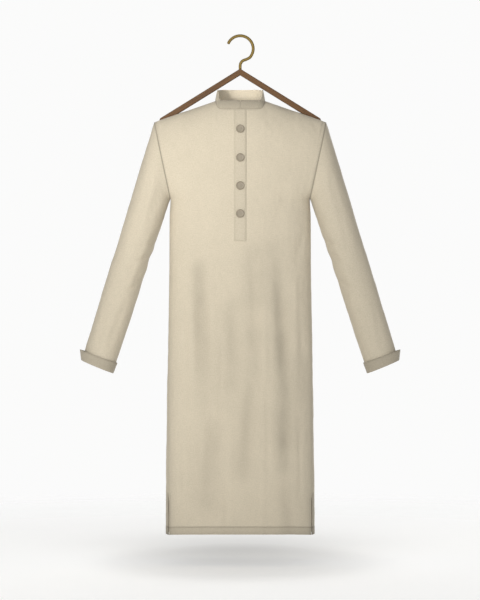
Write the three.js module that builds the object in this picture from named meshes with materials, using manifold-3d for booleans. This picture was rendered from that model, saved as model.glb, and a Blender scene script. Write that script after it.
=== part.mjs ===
// A long-sleeved kurta hanging from a wooden clothes hanger with a wire hook.
// Units are millimetres. +Z is up and the front faces -Y. The origin is the inside top of the
// hook, where a rail carries it. Each cloth piece is a thin wall worked out from its sections.
import * as THREE from "three";
import { mergeVertices } from "three/addons/utils/BufferGeometryUtils.js";
import Module from "manifold-3d";

// Cloth
const CLOTH = 1.5; // wall of a single panel
const COLLAR_CLOTH = 2.0; // wall of the two-ply stand collar
const TRIM_CLOTH = 1.2; // placket strip
const SEAM_GAP = 0.4; // between pieces that are sewn together
const TRIM_GAP = 0.45; // between a panel and what lies on it

// Heights
const COLLAR_TOP_Z = -132;
const COLLAR_BACK_RISE = 3.5; // how much higher the back of the collar stands
const NECK_SIDE_Z = -160;
const NECK_FRONT_DROP = 24;
const NECK_BACK_RISE = 3;
const SHOULDER_Z = -213;
const UNDERARM_Z = -405;
const PLACKET_END_Z = -511.5;
const VENT_TOP_Z = -1137;
const HEM_Z = -1241.5; // at the sides
const HEM_LIFT = 4.7; // how much higher the hem is in the middle

// Widths and depths
const NECK_HALF_WIDTH = 62.5;
const NECK_HALF_DEPTH = 50;
const SHOULDER_HALF_WIDTH = 215;
const UNDERARM_HALF_WIDTH = 174;
const ARMHOLE_HALF_DEPTH = 48;
const ROUNDNESS = 2.4; // exponent of the body's oval section
const NECKLINE_SQUARENESS = 5; // how flat the dip of the front neckline is
const VENT_PARTING = 3.5; // gap between the two flaps of a side vent
const VENT_RUN = 25; // height over which a vent opens

// Body below the underarm. seamForward is how far the side seam lies in front of the widest line.
const BODY_SECTIONS = [
  { z: -1241.5, halfWidth: 186, frontDepth: 73, backDepth: 70, seamForward: 28 },
  { z: -1120, halfWidth: 185.5, frontDepth: 72, backDepth: 70, seamForward: 27 },
  { z: -960, halfWidth: 183.2, frontDepth: 70, backDepth: 68, seamForward: 21 },
  { z: -760, halfWidth: 180, frontDepth: 67, backDepth: 66, seamForward: 15 },
  { z: -560, halfWidth: 177, frontDepth: 64, backDepth: 65, seamForward: 6 },
  { z: -450, halfWidth: 176.4, frontDepth: 63, backDepth: 66, seamForward: 1 },
  { z: -405, halfWidth: 174, frontDepth: 62, backDepth: 66, seamForward: 0 },
  { z: -150, halfWidth: 174, frontDepth: 58, backDepth: 62, seamForward: 0 },
];

// Soft troughs, each from (topX, topZ) to (lowX, lowZ), with its half width and depth.
const FRONT_FOLDS = [
  { topX: -104, topZ: -545, lowX: -90, lowZ: -915, width: 16, depth: 10 },
  { topX: -116, topZ: -905, lowX: -110, lowZ: -1200, width: 16, depth: 5 },
  { topX: -60, topZ: -900, lowX: -86, lowZ: -1165, width: 17, depth: 7 },
  { topX: -24, topZ: -625, lowX: 0, lowZ: -915, width: 21, depth: 6 },
  { topX: 32, topZ: -505, lowX: 39, lowZ: -850, width: 16, depth: 6 },
  { topX: 38, topZ: -820, lowX: 5, lowZ: -1135, width: 16, depth: 8 },
  { topX: 76, topZ: -500, lowX: 80, lowZ: -600, width: 20, depth: 4 },
  { topX: 92, topZ: -560, lowX: 117, lowZ: -905, width: 16, depth: 10 },
  { topX: 116, topZ: -880, lowX: 107, lowZ: -1100, width: 16, depth: 9 },
  { topX: 110, topZ: -1070, lowX: 125, lowZ: -1241.5, width: 17, depth: 4 },
  { topX: 148, topZ: -665, lowX: 152, lowZ: -880, width: 16, depth: 4 },
];
const BACK_FOLDS = [
  { topX: -118, topZ: -480, lowX: -104, lowZ: -880, width: 17, depth: 9 },
  { topX: -74, topZ: -830, lowX: -98, lowZ: -1190, width: 17, depth: 7 },
  { topX: -30, topZ: -560, lowX: -46, lowZ: -960, width: 19, depth: 7 },
  { topX: 8, topZ: -700, lowX: -4, lowZ: -1100, width: 20, depth: 8 },
  { topX: 52, topZ: -520, lowX: 44, lowZ: -820, width: 16, depth: 6 },
  { topX: 96, topZ: -450, lowX: 78, lowZ: -930, width: 17, depth: 10 },
  { topX: 70, topZ: -900, lowX: 92, lowZ: -1241.5, width: 17, depth: 6 },
  { topX: 138, topZ: -620, lowX: 128, lowZ: -1150, width: 16, depth: 6 },
];
const FOLD_END = 130; // length over which a fold fades in and out

// Grid of the body panels: x of the columns outside the neck, measured along the shoulder.
const SHOULDER_COLUMNS = [76, 90, 104, 118, 132, 146, 159, 171, 182, 192, 202, 208.5, 215];
const NECK_STEPS = 6;
const ROWS_BELOW_ARMHOLE = 16;
const ARMHOLE_STEPS = 9; // from the underarm to the shoulder point, on each of front and back

// Sleeves: the outer and inner lines of the front outline, and the depth along the sleeve.
const SLEEVE_OUTER = { topX: 215, topZ: -213, lowX: 396, lowZ: -807 };
const SLEEVE_INNER = { topX: 175.2, topZ: -405, lowX: 318.5, lowZ: -839 };
const SLEEVE_TWIST = 1.6; // how soon the rings turn square to the sleeve
const SLEEVE_SECTIONS = [
  { t: 0, halfDepth: 48, sag: 0 },
  { t: 0.25, halfDepth: 51, sag: 2 },
  { t: 0.55, halfDepth: 46, sag: 3 },
  { t: 0.8, halfDepth: 41, sag: 1 },
  { t: 1, halfDepth: 37, sag: 0 },
];
const SLEEVE_ROWS = [0.03, 0.08, 0.15, 0.24, 0.34, 0.44, 0.53, 0.6, 0.68, 0.77, 0.86];
const SLEEVE_CREASES = [
  { t: 0.42, width: 0.035, depth: 1.8 },
  { t: 0.52, width: 0.03, depth: 2.4 },
  { t: 0.63, width: 0.04, depth: 1.5 },
];

// Turned-back cuffs
const CUFF_START = 0.963; // place of the upper edge along the sleeve
const CUFF_FLARE = 10; // how far the upper edge stands off at the outer side
const CUFF_LIFT = 1.2; // how far it stands off elsewhere

// Collar
const COLLAR_TOP_HALF_WIDTH = 57;
const COLLAR_TOP_HALF_DEPTH = 46;
const COLLAR_FRONT_HEIGHT = 23;
const COLLAR_ROWS = 3;
const COLLAR_OPENING = 0.8; // between the two ends at centre front

// Placket and buttons
const PLACKET_HALF_WIDTH = 15;
const PLACKET_COLUMNS = 4;
const SLASH_WIDTH = 1.0; // cut in the front under the placket
const SLASH_END_Z = -490;
const BUTTON_HEIGHTS = [-233.5, -304.3, -374.1, -443.3];
const BUTTON_RADIUS = 10.5;
const BUTTON_THICKNESS = 3;
const BUTTON_SIDES = 18;

// Hanger
const ARM_SLOPE = 0.62;
const ARM_TOP_Z = -79;
const ARM_DROP = 16.5; // thickness of an arm, measured straight down
const ARM_DEPTH = 12;
const ARM_BEVEL = 2;
const ARM_PARTING = 7.4; // half gap of the shoulder seam where an arm goes in
const PARTING_START = [132, 146];
const PARTING_END = [202, 208.5];
const NECK_SPREAD = [15, 135]; // the hollow under the neck fades out over this much of the width
const NECK_SOFTENING = 70; // depth below the neckline at which its edge no longer shows
const ARM_TIP = [
  { x: 199.5, z: -202.7 },
  { x: 201.2, z: -205.4 },
  { x: 201.8, z: -212.6 },
  { x: 206, z: -214.6 },
  { x: 209, z: -217.6 },
  { x: 209, z: -221.2 },
  { x: 205.5, z: -222.9 },
  { x: 198, z: -218.3 },
];
const WIRE_RADIUS = 3.5;
const HOOK_RADIUS = 32.5;
const HOOK_FROM_DEG = 159;
const HOOK_TO_DEG = -42;
const STEM_TOP_Z = -68;
const STEM_DEPTH = 11; // how far the stem goes into the wood
const WIRE_SIDES = 8;
const WIRE_STEPS = 40;

const COLOURS = { cloth: 0xe0d6bd, trim: 0xc9bea4, button: 0xa99e8a, wood: 0x7d5a3c, brass: 0x93793c };

const lerp = THREE.MathUtils.lerp;
const smooth = THREE.MathUtils.smoothstep;
const signedPower = (value, power) => Math.sign(value) * Math.abs(value) ** power;

// Value of one column of a table, smooth between rows and monotone where the rows are.
function tableValue(table, at, key, position) {
  const rows = [...table].sort((a, b) => a[at] - b[at]);
  const p = THREE.MathUtils.clamp(position, rows[0][at], rows[rows.length - 1][at]);
  let i = 0;
  while (i < rows.length - 2 && p > rows[i + 1][at]) i += 1;
  const slope = (n) => {
    if (n < 0 || n >= rows.length - 1) return null;
    return (rows[n + 1][key] - rows[n][key]) / (rows[n + 1][at] - rows[n][at]);
  };
  const tangent = (before, after) => {
    if (before === null) return after;
    if (after === null) return before;
    return before * after <= 0 ? 0 : (2 * before * after) / (before + after);
  };
  const step = rows[i + 1][at] - rows[i][at];
  const s = (p - rows[i][at]) / step;
  const m0 = tangent(slope(i - 1), slope(i)) * step;
  const m1 = tangent(slope(i), slope(i + 1)) * step;
  const s2 = s * s;
  const s3 = s2 * s;
  return (
    (2 * s3 - 3 * s2 + 1) * rows[i][key] +
    (s3 - 2 * s2 + s) * m0 +
    (3 * s2 - 2 * s3) * rows[i + 1][key] +
    (s3 - s2) * m1
  );
}

const bodyValue = (key, z) => tableValue(BODY_SECTIONS, "z", key, z);

// --- Body skin. side is -1 on the front and 1 on the back.

// x as a share of the side line, for each column from the left side to the right.
function columnShares() {
  const half = [];
  for (let i = 1; i <= NECK_STEPS; i += 1) {
    half.push((NECK_HALF_WIDTH * Math.sin((i / NECK_STEPS) * (Math.PI / 2))) / SHOULDER_HALF_WIDTH);
  }
  half.push(...SHOULDER_COLUMNS.map((x) => x / SHOULDER_HALF_WIDTH));
  return [...half.map((f) => -f).reverse(), 0, ...half];
}

// Height of each row at the side line, as a share of the way from the hem to the shoulder.
function rowShares() {
  const heights = [];
  for (let i = 0; i < ROWS_BELOW_ARMHOLE; i += 1) {
    heights.push(lerp(HEM_Z, UNDERARM_Z, i / ROWS_BELOW_ARMHOLE));
  }
  for (let i = 0; i <= ARMHOLE_STEPS; i += 1) {
    const turn = (i / ARMHOLE_STEPS) * Math.PI;
    heights.push(lerp(UNDERARM_Z, SHOULDER_Z, (1 - Math.cos(turn)) / 2));
  }
  return heights.map((z) => (z - HEM_Z) / (SHOULDER_Z - HEM_Z));
}

// Oval depth, from 1 in the middle to 0 at share 1 of the half width.
const ovalDepth = (share) => Math.max(0, 1 - Math.abs(share) ** ROUNDNESS) ** (1 / ROUNDNESS);

// Height of the shoulder line, or of the neckline inside the neck.
function topEdgeZ(side, x) {
  const out = Math.abs(x);
  if (out >= NECK_HALF_WIDTH) {
    const share = (out - NECK_HALF_WIDTH) / (SHOULDER_HALF_WIDTH - NECK_HALF_WIDTH);
    return lerp(NECK_SIDE_Z, SHOULDER_Z, share);
  }
  const dip = 1 - (out / NECK_HALF_WIDTH) ** NECKLINE_SQUARENESS;
  return NECK_SIDE_Z + (side < 0 ? -NECK_FRONT_DROP : NECK_BACK_RISE) * dip;
}

// Distance of that edge from the middle plane: the neck's oval, and the parting round each arm.
function topEdgeDepth(x) {
  const out = Math.abs(x);
  if (out < NECK_HALF_WIDTH) return NECK_HALF_DEPTH * ovalDepth(out / NECK_HALF_WIDTH);
  return ARM_PARTING * smooth(out, ...PARTING_START) * (1 - smooth(out, ...PARTING_END));
}

// The same lower down, where the hollow under the neck has spread out.
function softDepth(x, below) {
  const spread = NECK_HALF_DEPTH * (1 - smooth(Math.abs(x), ...NECK_SPREAD));
  return lerp(topEdgeDepth(x), spread, smooth(below, 0, NECK_SOFTENING));
}

// Drop below the edge; lower down it is taken from a shoulder line that rounds over the neck.
function softDrop(side, x, z) {
  const below = topEdgeZ(side, x) - z;
  const slope = (NECK_SIDE_Z - SHOULDER_Z) / (SHOULDER_HALF_WIDTH - NECK_HALF_WIDTH);
  const rounded = Math.hypot(x, NECK_HALF_WIDTH / 2) - Math.hypot(NECK_HALF_WIDTH, NECK_HALF_WIDTH / 2);
  return lerp(below, NECK_SIDE_Z - slope * rounded - z, smooth(below, 0, NECK_SOFTENING));
}

// Half width of the body where the sleeve joins it.
function armholeX(z) {
  const share = THREE.MathUtils.clamp((z - UNDERARM_Z) / (SHOULDER_Z - UNDERARM_Z), 0, 1);
  return lerp(UNDERARM_HALF_WIDTH, SHOULDER_HALF_WIDTH, share);
}

function foldDepth(side, x, z) {
  let total = 0;
  for (const fold of side < 0 ? FRONT_FOLDS : BACK_FOLDS) {
    const share = (fold.topZ - z) / (fold.topZ - fold.lowZ);
    const middle = lerp(fold.topX, fold.lowX, THREE.MathUtils.clamp(share, 0, 1));
    const across = Math.exp(-(((x - middle) / fold.width) ** 2));
    const openEnd = fold.lowZ <= HEM_Z;
    const low = openEnd ? 1 : smooth(z, fold.lowZ, fold.lowZ + FOLD_END);
    total += fold.depth * across * low * (1 - smooth(z, fold.topZ - FOLD_END, fold.topZ));
  }
  return total;
}

// Below the underarm the section is an oval; the seam splits it a little in front of its side.
function lowerPoint(side, share, z) {
  const halfWidth = bodyValue("halfWidth", z);
  const frontDepth = bodyValue("frontDepth", z);
  const parting = (VENT_PARTING / 2) * (1 - smooth(z, VENT_TOP_Z - VENT_RUN, VENT_TOP_Z));
  const seamY = Math.max(0, bodyValue("seamForward", z) - side * parting);
  const seamTurn = Math.acos((seamY / frontDepth) ** (ROUNDNESS / 2));
  const turn = Math.asin(Math.abs(share) ** (ROUNDNESS / 2)) / (Math.PI / 2);
  const angle = side < 0 ? turn * seamTurn : Math.PI - turn * (Math.PI - seamTurn);
  const depth = Math.cos(angle) > 0 ? frontDepth : bodyValue("backDepth", z);
  const x = Math.sign(share) * halfWidth * Math.sin(angle) ** (2 / ROUNDNESS);
  const fade = smooth(Math.abs(Math.cos(angle)), 0.1, 0.45) * smooth(1 - turn, 0, 0.2);
  const fold = foldDepth(side, x, z) * fade * Math.sign(Math.cos(angle));
  return new THREE.Vector3(x, -depth * signedPower(Math.cos(angle), 2 / ROUNDNESS) + fold, z);
}

// Above the underarm the armhole cuts the oval short, and the wall rounds in to the shoulder.
function upperPoint(side, share, z) {
  const edgeX = armholeX(z);
  const x = share * edgeX;
  const middleZ = (SHOULDER_Z + UNDERARM_Z) / 2;
  const reach = (SHOULDER_Z - UNDERARM_Z) / 2;
  const below = Math.max(0, (middleZ - z) / reach);
  const edgeDepth = ARMHOLE_HALF_DEPTH * ovalDepth(below);
  const fullDepth = bodyValue(side < 0 ? "frontDepth" : "backDepth", z);
  const ovalWidth = edgeX / ovalDepth(edgeDepth / fullDepth);
  const shoulderX = share * SHOULDER_HALF_WIDTH;
  const topDepth = softDepth(shoulderX, topEdgeZ(side, shoulderX) - z);
  const under = Math.min(1, softDrop(side, shoulderX, z) / reach);
  const round = Math.sqrt(Math.max(0, 1 - (1 - under) ** 2));
  const wide = fullDepth * ovalDepth(x / ovalWidth) - foldDepth(side, x, z);
  return new THREE.Vector3(x, side * lerp(topDepth, wide, round), z);
}

function bodyPoint(side, share, rise) {
  const topZ = topEdgeZ(side, share * SHOULDER_HALF_WIDTH);
  const z = lerp(HEM_Z + HEM_LIFT * ovalDepth(share), topZ, rise);
  return z < UNDERARM_Z ? lowerPoint(side, share, z) : upperPoint(side, share, z);
}

const columns = columnShares();
const rows = rowShares();
const last = columns.length - 1;
const skin = {};
for (const [name, side] of [["front", -1], ["back", 1]]) {
  skin[name] = rows.map((rise) => columns.map((share) => bodyPoint(side, share, rise)));
}

// --- Sleeve skin. hand is -1 on the left of the front view and 1 on the right.

// The armhole's points, from the underarm up the front to the shoulder and down the back.
function armholeLoop(hand) {
  const column = hand < 0 ? 0 : last;
  const loop = [];
  for (let i = 0; i <= ARMHOLE_STEPS; i += 1) loop.push(skin.front[ROWS_BELOW_ARMHOLE + i][column]);
  for (let i = ARMHOLE_STEPS - 1; i > 0; i -= 1) loop.push(skin.back[ROWS_BELOW_ARMHOLE + i][column]);
  return loop;
}

function sleevePoint(hand, t, turn, out = 0) {
  const late = t ** SLEEVE_TWIST;
  const outer = new THREE.Vector3(lerp(SLEEVE_OUTER.topX, SLEEVE_OUTER.lowX, t), 0, 0);
  outer.z = lerp(SLEEVE_OUTER.topZ, SLEEVE_OUTER.lowZ, t);
  const inner = new THREE.Vector3(lerp(SLEEVE_INNER.topX, SLEEVE_INNER.lowX, late), 0, 0);
  inner.z = lerp(SLEEVE_INNER.topZ, SLEEVE_INNER.lowZ, late);
  const half = outer.clone().sub(inner).multiplyScalar(0.5);
  const centre = outer.add(inner).multiplyScalar(0.5);
  let crease = 0;
  for (const c of SLEEVE_CREASES) {
    crease += c.depth * Math.exp(-(((t - c.t) / c.width) ** 2));
  }
  const innerSide = smooth(Math.cos(turn), 0, 1);
  const depth = tableValue(SLEEVE_SECTIONS, "t", "halfDepth", t) - crease * 0.5 * innerSide + out;
  const stretch = (half.length() - crease * innerSide + out) / half.length();
  const point = centre.addScaledVector(half, -Math.cos(turn) * stretch);
  point.y = -depth * Math.sin(turn) - tableValue(SLEEVE_SECTIONS, "t", "sag", t);
  point.x *= hand;
  return point;
}

const ringTurns = [];
for (let i = 0; i < 2 * ARMHOLE_STEPS; i += 1) ringTurns.push((i / ARMHOLE_STEPS) * Math.PI);

function sleeveSkin(hand) {
  const ends = [CUFF_START, 1];
  const rings = [...SLEEVE_ROWS, ...ends].map((t) => ringTurns.map((turn) => sleevePoint(hand, t, turn)));
  return [armholeLoop(hand), ...rings];
}
skin.sleeve_left = sleeveSkin(-1);
skin.sleeve_right = sleeveSkin(1);

// --- Walls

// The normal at each point of some patches, summed over the faces that meet there, so that
// pieces which share a seam also share the direction of their wall.
const keyOf = (p) => [p.x, p.y, p.z].map((value) => Math.round(value * 100)).join();
function normalsOf(patches) {
  const sums = new Map();
  for (const { grid, closed, flip } of patches) {
    const across = grid[0].length;
    for (let i = 0; i + 1 < grid.length; i += 1) {
      for (let j = 0; j < (closed ? across : across - 1); j += 1) {
        const k = (j + 1) % across;
        const corners = [grid[i][j], grid[i][k], grid[i + 1][k], grid[i + 1][j]];
        const one = corners[2].clone().sub(corners[0]);
        const two = corners[3].clone().sub(corners[1]);
        const normal = one.cross(two).multiplyScalar(flip ? -1 : 1);
        for (const corner of corners) {
          const sum = sums.get(keyOf(corner)) || new THREE.Vector3();
          sums.set(keyOf(corner), sum.clone().add(normal));
        }
      }
    }
  }
  return (p) => sums.get(keyOf(p)).clone().normalize();
}
const bodyNormal = normalsOf([{ grid: skin.front }, { grid: skin.back, flip: true }]);

// The way out of the body, square to the plane of an armhole.
function armholeOut(hand) {
  const rise = SHOULDER_Z - UNDERARM_Z;
  return new THREE.Vector3(hand * rise, 0, UNDERARM_HALF_WIDTH - SHOULDER_HALF_WIDTH).normalize();
}

// The inside of a wall. sideAt gives, for a point in an armhole's seam, the way off the seam's
// plane to the side where the piece lies, because its cloth stays on that side.
function innerOf(grid, normalAt, sideAt) {
  const inward = (p, i, j) => {
    const own = normalAt(p).negate();
    const side = sideAt(i, j);
    if (!side || own.dot(side) >= 0) return own.multiplyScalar(CLOTH);
    const along = own.clone().addScaledVector(side, -own.dot(side)).normalize();
    return along.multiplyScalar(CLOTH / Math.max(0.5, along.dot(own)));
  };
  return grid.map((row, i) => row.map((p, j) => p.clone().add(inward(p, i, j))));
}

// A closed wall between two grids of points. A closed ring joins its last column to its first.
function wallGeometry(outer, inner, closed) {
  const down = outer.length;
  const across = outer[0].length;
  const positions = [];
  for (const grid of [outer, inner]) {
    for (const row of grid) for (const p of row) positions.push(p.x, p.y, p.z);
  }
  const at = (layer, i, j) => layer * down * across + i * across + (j % across);
  const index = [];
  const quad = (a, b, c, d) => index.push(a, b, c, a, c, d);
  const span = closed ? across : across - 1;
  for (let i = 0; i + 1 < down; i += 1) {
    for (let j = 0; j < span; j += 1) {
      quad(at(0, i, j), at(0, i, j + 1), at(0, i + 1, j + 1), at(0, i + 1, j));
      quad(at(1, i, j), at(1, i + 1, j), at(1, i + 1, j + 1), at(1, i, j + 1));
    }
  }
  for (let j = 0; j < span; j += 1) {
    quad(at(0, 0, j), at(1, 0, j), at(1, 0, j + 1), at(0, 0, j + 1));
    quad(at(0, down - 1, j), at(0, down - 1, j + 1), at(1, down - 1, j + 1), at(1, down - 1, j));
  }
  for (let i = 0; !closed && i + 1 < down; i += 1) {
    quad(at(0, i, 0), at(0, i + 1, 0), at(1, i + 1, 0), at(1, i, 0));
    quad(at(0, i, across - 1), at(1, i, across - 1), at(1, i + 1, across - 1), at(0, i + 1, across - 1));
  }
  const geometry = new THREE.BufferGeometry();
  geometry.setAttribute("position", new THREE.Float32BufferAttribute(positions, 3));
  geometry.setIndex(index);
  return facingOut(geometry);
}

// Turns the faces round if they point in.
function facingOut(geometry) {
  const position = geometry.getAttribute("position");
  const index = geometry.index.array;
  const corner = [new THREE.Vector3(), new THREE.Vector3(), new THREE.Vector3()];
  let volume = 0;
  for (let i = 0; i < index.length; i += 3) {
    corner.forEach((v, n) => v.fromBufferAttribute(position, index[i + n]));
    volume += corner[0].dot(corner[1].clone().cross(corner[2]));
  }
  for (let i = 0; volume < 0 && i < index.length; i += 3) {
    [index[i + 1], index[i + 2]] = [index[i + 2], index[i + 1]];
  }
  geometry.computeVertexNormals();
  return geometry;
}

// Moves each point of both layers by what move(row, column) gives.
function shifted(layers, move) {
  return layers.map((grid) => grid.map((row, i) => row.map((p, j) => p.clone().add(move(i, j)))));
}

// The wall of the front or back, held back from its seams by half a seam gap.
function panelWall(grid) {
  const top = grid.length - 1;
  const sideAt = (i, j) => {
    const inSeam = i >= ROWS_BELOW_ARMHOLE && (j === 0 || j === last);
    return inSeam ? armholeOut(j === 0 ? -1 : 1).negate() : null;
  };
  const towards = (i, j, i2, j2) => grid[i2][j2].clone().sub(grid[i][j]).setLength(SEAM_GAP / 2);
  const move = (i, j) => {
    const total = new THREE.Vector3();
    if (i === top) total.add(towards(i, j, i - 1, j));
    if (j !== 0 && j !== last) return total;
    if (sideAt(i, j)) total.addScaledVector(sideAt(i, j), SEAM_GAP / 2);
    if (i <= ROWS_BELOW_ARMHOLE) total.add(towards(i, j, i, j === 0 ? 1 : last - 1));
    return total;
  };
  return wallGeometry(...shifted([grid, innerOf(grid, bodyNormal, sideAt)], move), false);
}

function sleeveWall(hand) {
  const grid = skin[hand < 0 ? "sleeve_left" : "sleeve_right"];
  const normalAt = normalsOf([{ grid, closed: true, flip: hand > 0 }]);
  const out = armholeOut(hand);
  const inner = innerOf(grid, normalAt, (i) => (i === 0 ? out : null));
  const move = (i) => new THREE.Vector3().addScaledVector(out, i === 0 ? SEAM_GAP / 2 : 0);
  return wallGeometry(...shifted([grid, inner], move), true);
}

// --- Joins and cuts
const wasm = await Module();
wasm.setup();

function solidFrom(geometry) {
  const bare = new THREE.BufferGeometry();
  bare.setAttribute("position", geometry.getAttribute("position"));
  bare.setIndex(geometry.index);
  const merged = mergeVertices(bare, 1e-3);
  return new wasm.Manifold(
    new wasm.Mesh({
      numProp: 3,
      vertProperties: merged.getAttribute("position").array,
      triVerts: new Uint32Array(merged.index.array),
    }),
  );
}

function geometryFrom(solid) {
  const mesh = solid.getMesh();
  const geometry = new THREE.BufferGeometry();
  geometry.setAttribute("position", new THREE.BufferAttribute(mesh.vertProperties, 3));
  geometry.setIndex(new THREE.BufferAttribute(mesh.triVerts, 1));
  geometry.computeVertexNormals();
  return geometry;
}

// --- Pieces

// The front is slashed at the centre, so that the kurta goes over the head.
function frontPanel() {
  const wall = solidFrom(panelWall(skin.front));
  const height = NECK_SIDE_Z - SLASH_END_Z;
  const cutter = new THREE.BoxGeometry(SLASH_WIDTH, ARM_DEPTH * 5, height);
  cutter.translate(0, -NECK_HALF_DEPTH - ARM_DEPTH, SLASH_END_Z + height / 2);
  return geometryFrom(wall.subtract(solidFrom(cutter)));
}

// The collar stands on the neckline, from one side of centre front round to the other.
function collarBand() {
  const top = rows.length - 1;
  const neck = (grid) => grid[top].slice(last / 2 - NECK_STEPS, last / 2 + NECK_STEPS + 1);
  const front = neck(skin.front);
  const base = [...front.slice(NECK_STEPS), ...neck(skin.back).reverse().slice(1, -1)];
  base.push(...front.slice(0, NECK_STEPS + 1));
  const outer = [];
  const inner = [];
  for (let i = 0; i <= COLLAR_ROWS; i += 1) {
    const share = i / COLLAR_ROWS;
    const ring = base.map((p, n) => collarPoint(p, share, n === 0 ? 1 : n === base.length - 1 ? -1 : 0));
    outer.push(ring.map((pair) => pair[0]));
    inner.push(ring.map((pair) => pair[1]));
  }
  return wallGeometry(outer, inner, false);
}

// One outer and inner point of the collar above a point of the neckline.
function collarPoint(base, share, end) {
  const forward = Math.max(0, -base.y / NECK_HALF_DEPTH);
  const sideways = Math.abs(base.x) / NECK_HALF_WIDTH;
  const frontTopZ = NECK_SIDE_Z - NECK_FRONT_DROP + COLLAR_FRONT_HEIGHT;
  const dip = forward > 0 ? 1 - sideways ** NECKLINE_SQUARENESS : 0;
  const backward = Math.max(0, base.y / NECK_HALF_DEPTH);
  const topZ = lerp(COLLAR_TOP_Z, frontTopZ, dip) + COLLAR_BACK_RISE * smooth(backward, 0.2, 0.9);
  const narrow = lerp(1, COLLAR_TOP_HALF_WIDTH / NECK_HALF_WIDTH, share);
  const shallow = lerp(1, COLLAR_TOP_HALF_DEPTH / NECK_HALF_DEPTH, share);
  const z = lerp(base.z + SEAM_GAP, topZ, share);
  const outer = new THREE.Vector3(base.x * narrow, base.y * shallow, z);
  const radial = new THREE.Vector3(outer.x / NECK_HALF_WIDTH ** 2, outer.y / NECK_HALF_DEPTH ** 2, 0);
  const inner = outer.clone().addScaledVector(radial.normalize(), -COLLAR_CLOTH);
  if (end) {
    outer.x = (end * COLLAR_OPENING) / 2;
    inner.x = outer.x;
  }
  return [outer, inner];
}

// A turned-back cuff: a ring round the sleeve's end, flared along its upper edge.
function cuffRing(hand) {
  const outer = [];
  const inner = [];
  for (const t of [CUFF_START, (CUFF_START + 1) / 2, 1]) {
    const open = (1 - t) / (1 - CUFF_START);
    const standOff = (turn) => {
      const outerSide = Math.max(0, -Math.cos(turn)) ** 2;
      return TRIM_GAP + open * lerp(CUFF_LIFT, CUFF_FLARE, outerSide);
    };
    inner.push(ringTurns.map((turn) => sleevePoint(hand, t, turn, standOff(turn))));
    outer.push(ringTurns.map((turn) => sleevePoint(hand, t, turn, standOff(turn) + CLOTH)));
  }
  return wallGeometry(outer, inner, true);
}

// The point of the front's skin at a given x, on the row with that rise, and its normal there.
function frontAt(x, rise) {
  let share = x / UNDERARM_HALF_WIDTH;
  for (let i = 0; i < 6 && x !== 0; i += 1) share *= x / bodyPoint(-1, share, rise).x;
  const point = bodyPoint(-1, share, rise);
  const step = 0.004;
  const along = bodyPoint(-1, share, Math.min(rise + step, 1)).sub(bodyPoint(-1, share, rise - step));
  const across = bodyPoint(-1, share + step, rise).sub(bodyPoint(-1, share - step, rise));
  return { point, normal: across.cross(along).normalize() };
}
const middleHemZ = HEM_Z + HEM_LIFT;
const riseAt = (z) => (z - middleHemZ) / (topEdgeZ(-1, 0) - middleHemZ);

// A strip on the front, made from the front's own points moved out.
function placketStrip() {
  const start = riseAt(PLACKET_END_Z);
  const end = riseAt(topEdgeZ(-1, 0) - 2 * SEAM_GAP);
  const rises = [start, ...rows.filter((rise) => rise > start && rise < end), end];
  const layer = (out) =>
    rises.map((rise) => {
      const row = [];
      for (let i = 0; i <= PLACKET_COLUMNS; i += 1) {
        const x = lerp(-PLACKET_HALF_WIDTH, PLACKET_HALF_WIDTH, i / PLACKET_COLUMNS);
        const { point, normal } = frontAt(x, rise);
        row.push(point.addScaledVector(normal, out));
      }
      return row;
    });
  return wallGeometry(layer(TRIM_GAP + TRIM_CLOTH), layer(TRIM_GAP), false);
}

// A dished disc whose axis points out of the front.
function button(z) {
  const r = BUTTON_RADIUS;
  const h = BUTTON_THICKNESS;
  const profile = [
    [0, 0],
    [r * 0.9, 0],
    [r, h * 0.3],
    [r, h * 0.7],
    [r * 0.92, h],
    [r * 0.72, h],
    [r * 0.62, h * 0.68],
    [0, h * 0.68],
  ];
  const disc = new THREE.LatheGeometry(profile.map(([x, y]) => new THREE.Vector2(x, y)), BUTTON_SIDES);
  const { point, normal } = frontAt(0, riseAt(z));
  const out = TRIM_GAP + TRIM_CLOTH + SEAM_GAP * 1.5;
  const turn = new THREE.Quaternion().setFromUnitVectors(new THREE.Vector3(0, 1, 0), normal);
  return { geometry: disc, position: point.addScaledVector(normal, out), turn };
}

const armLineZ = (x) => ARM_TOP_Z - ARM_SLOPE * Math.abs(x);

// Both arms in one piece of wood, with a blind hole for the hook.
function hangerArms() {
  const low = ARM_TIP[ARM_TIP.length - 1];
  const right = [...ARM_TIP.map(({ x, z }) => [x, z]), [low.x - 8, armLineZ(low.x - 8) - ARM_DROP]];
  const left = right.map(([x, z]) => [-x, z]).reverse();
  const outline = [[0, ARM_TOP_Z], ...right, [0, ARM_TOP_Z - ARM_DROP], ...left];
  const shape = new THREE.Shape(outline.map(([x, z]) => new THREE.Vector2(x, z)));
  const bar = new THREE.ExtrudeGeometry(shape, {
    depth: ARM_DEPTH - 2 * ARM_BEVEL,
    bevelSize: ARM_BEVEL,
    bevelOffset: -ARM_BEVEL,
    bevelThickness: ARM_BEVEL,
    bevelSegments: 3,
  });
  bar.translate(0, 0, ARM_BEVEL - ARM_DEPTH / 2);
  bar.rotateX(Math.PI / 2);
  const holeRadius = WIRE_RADIUS + SEAM_GAP;
  const hole = new THREE.CylinderGeometry(holeRadius, holeRadius, 2 * STEM_DEPTH, 2 * WIRE_SIDES);
  hole.rotateX(Math.PI / 2);
  hole.translate(0, 0, ARM_TOP_Z);
  return geometryFrom(solidFrom(bar).subtract(solidFrom(hole)));
}

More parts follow.
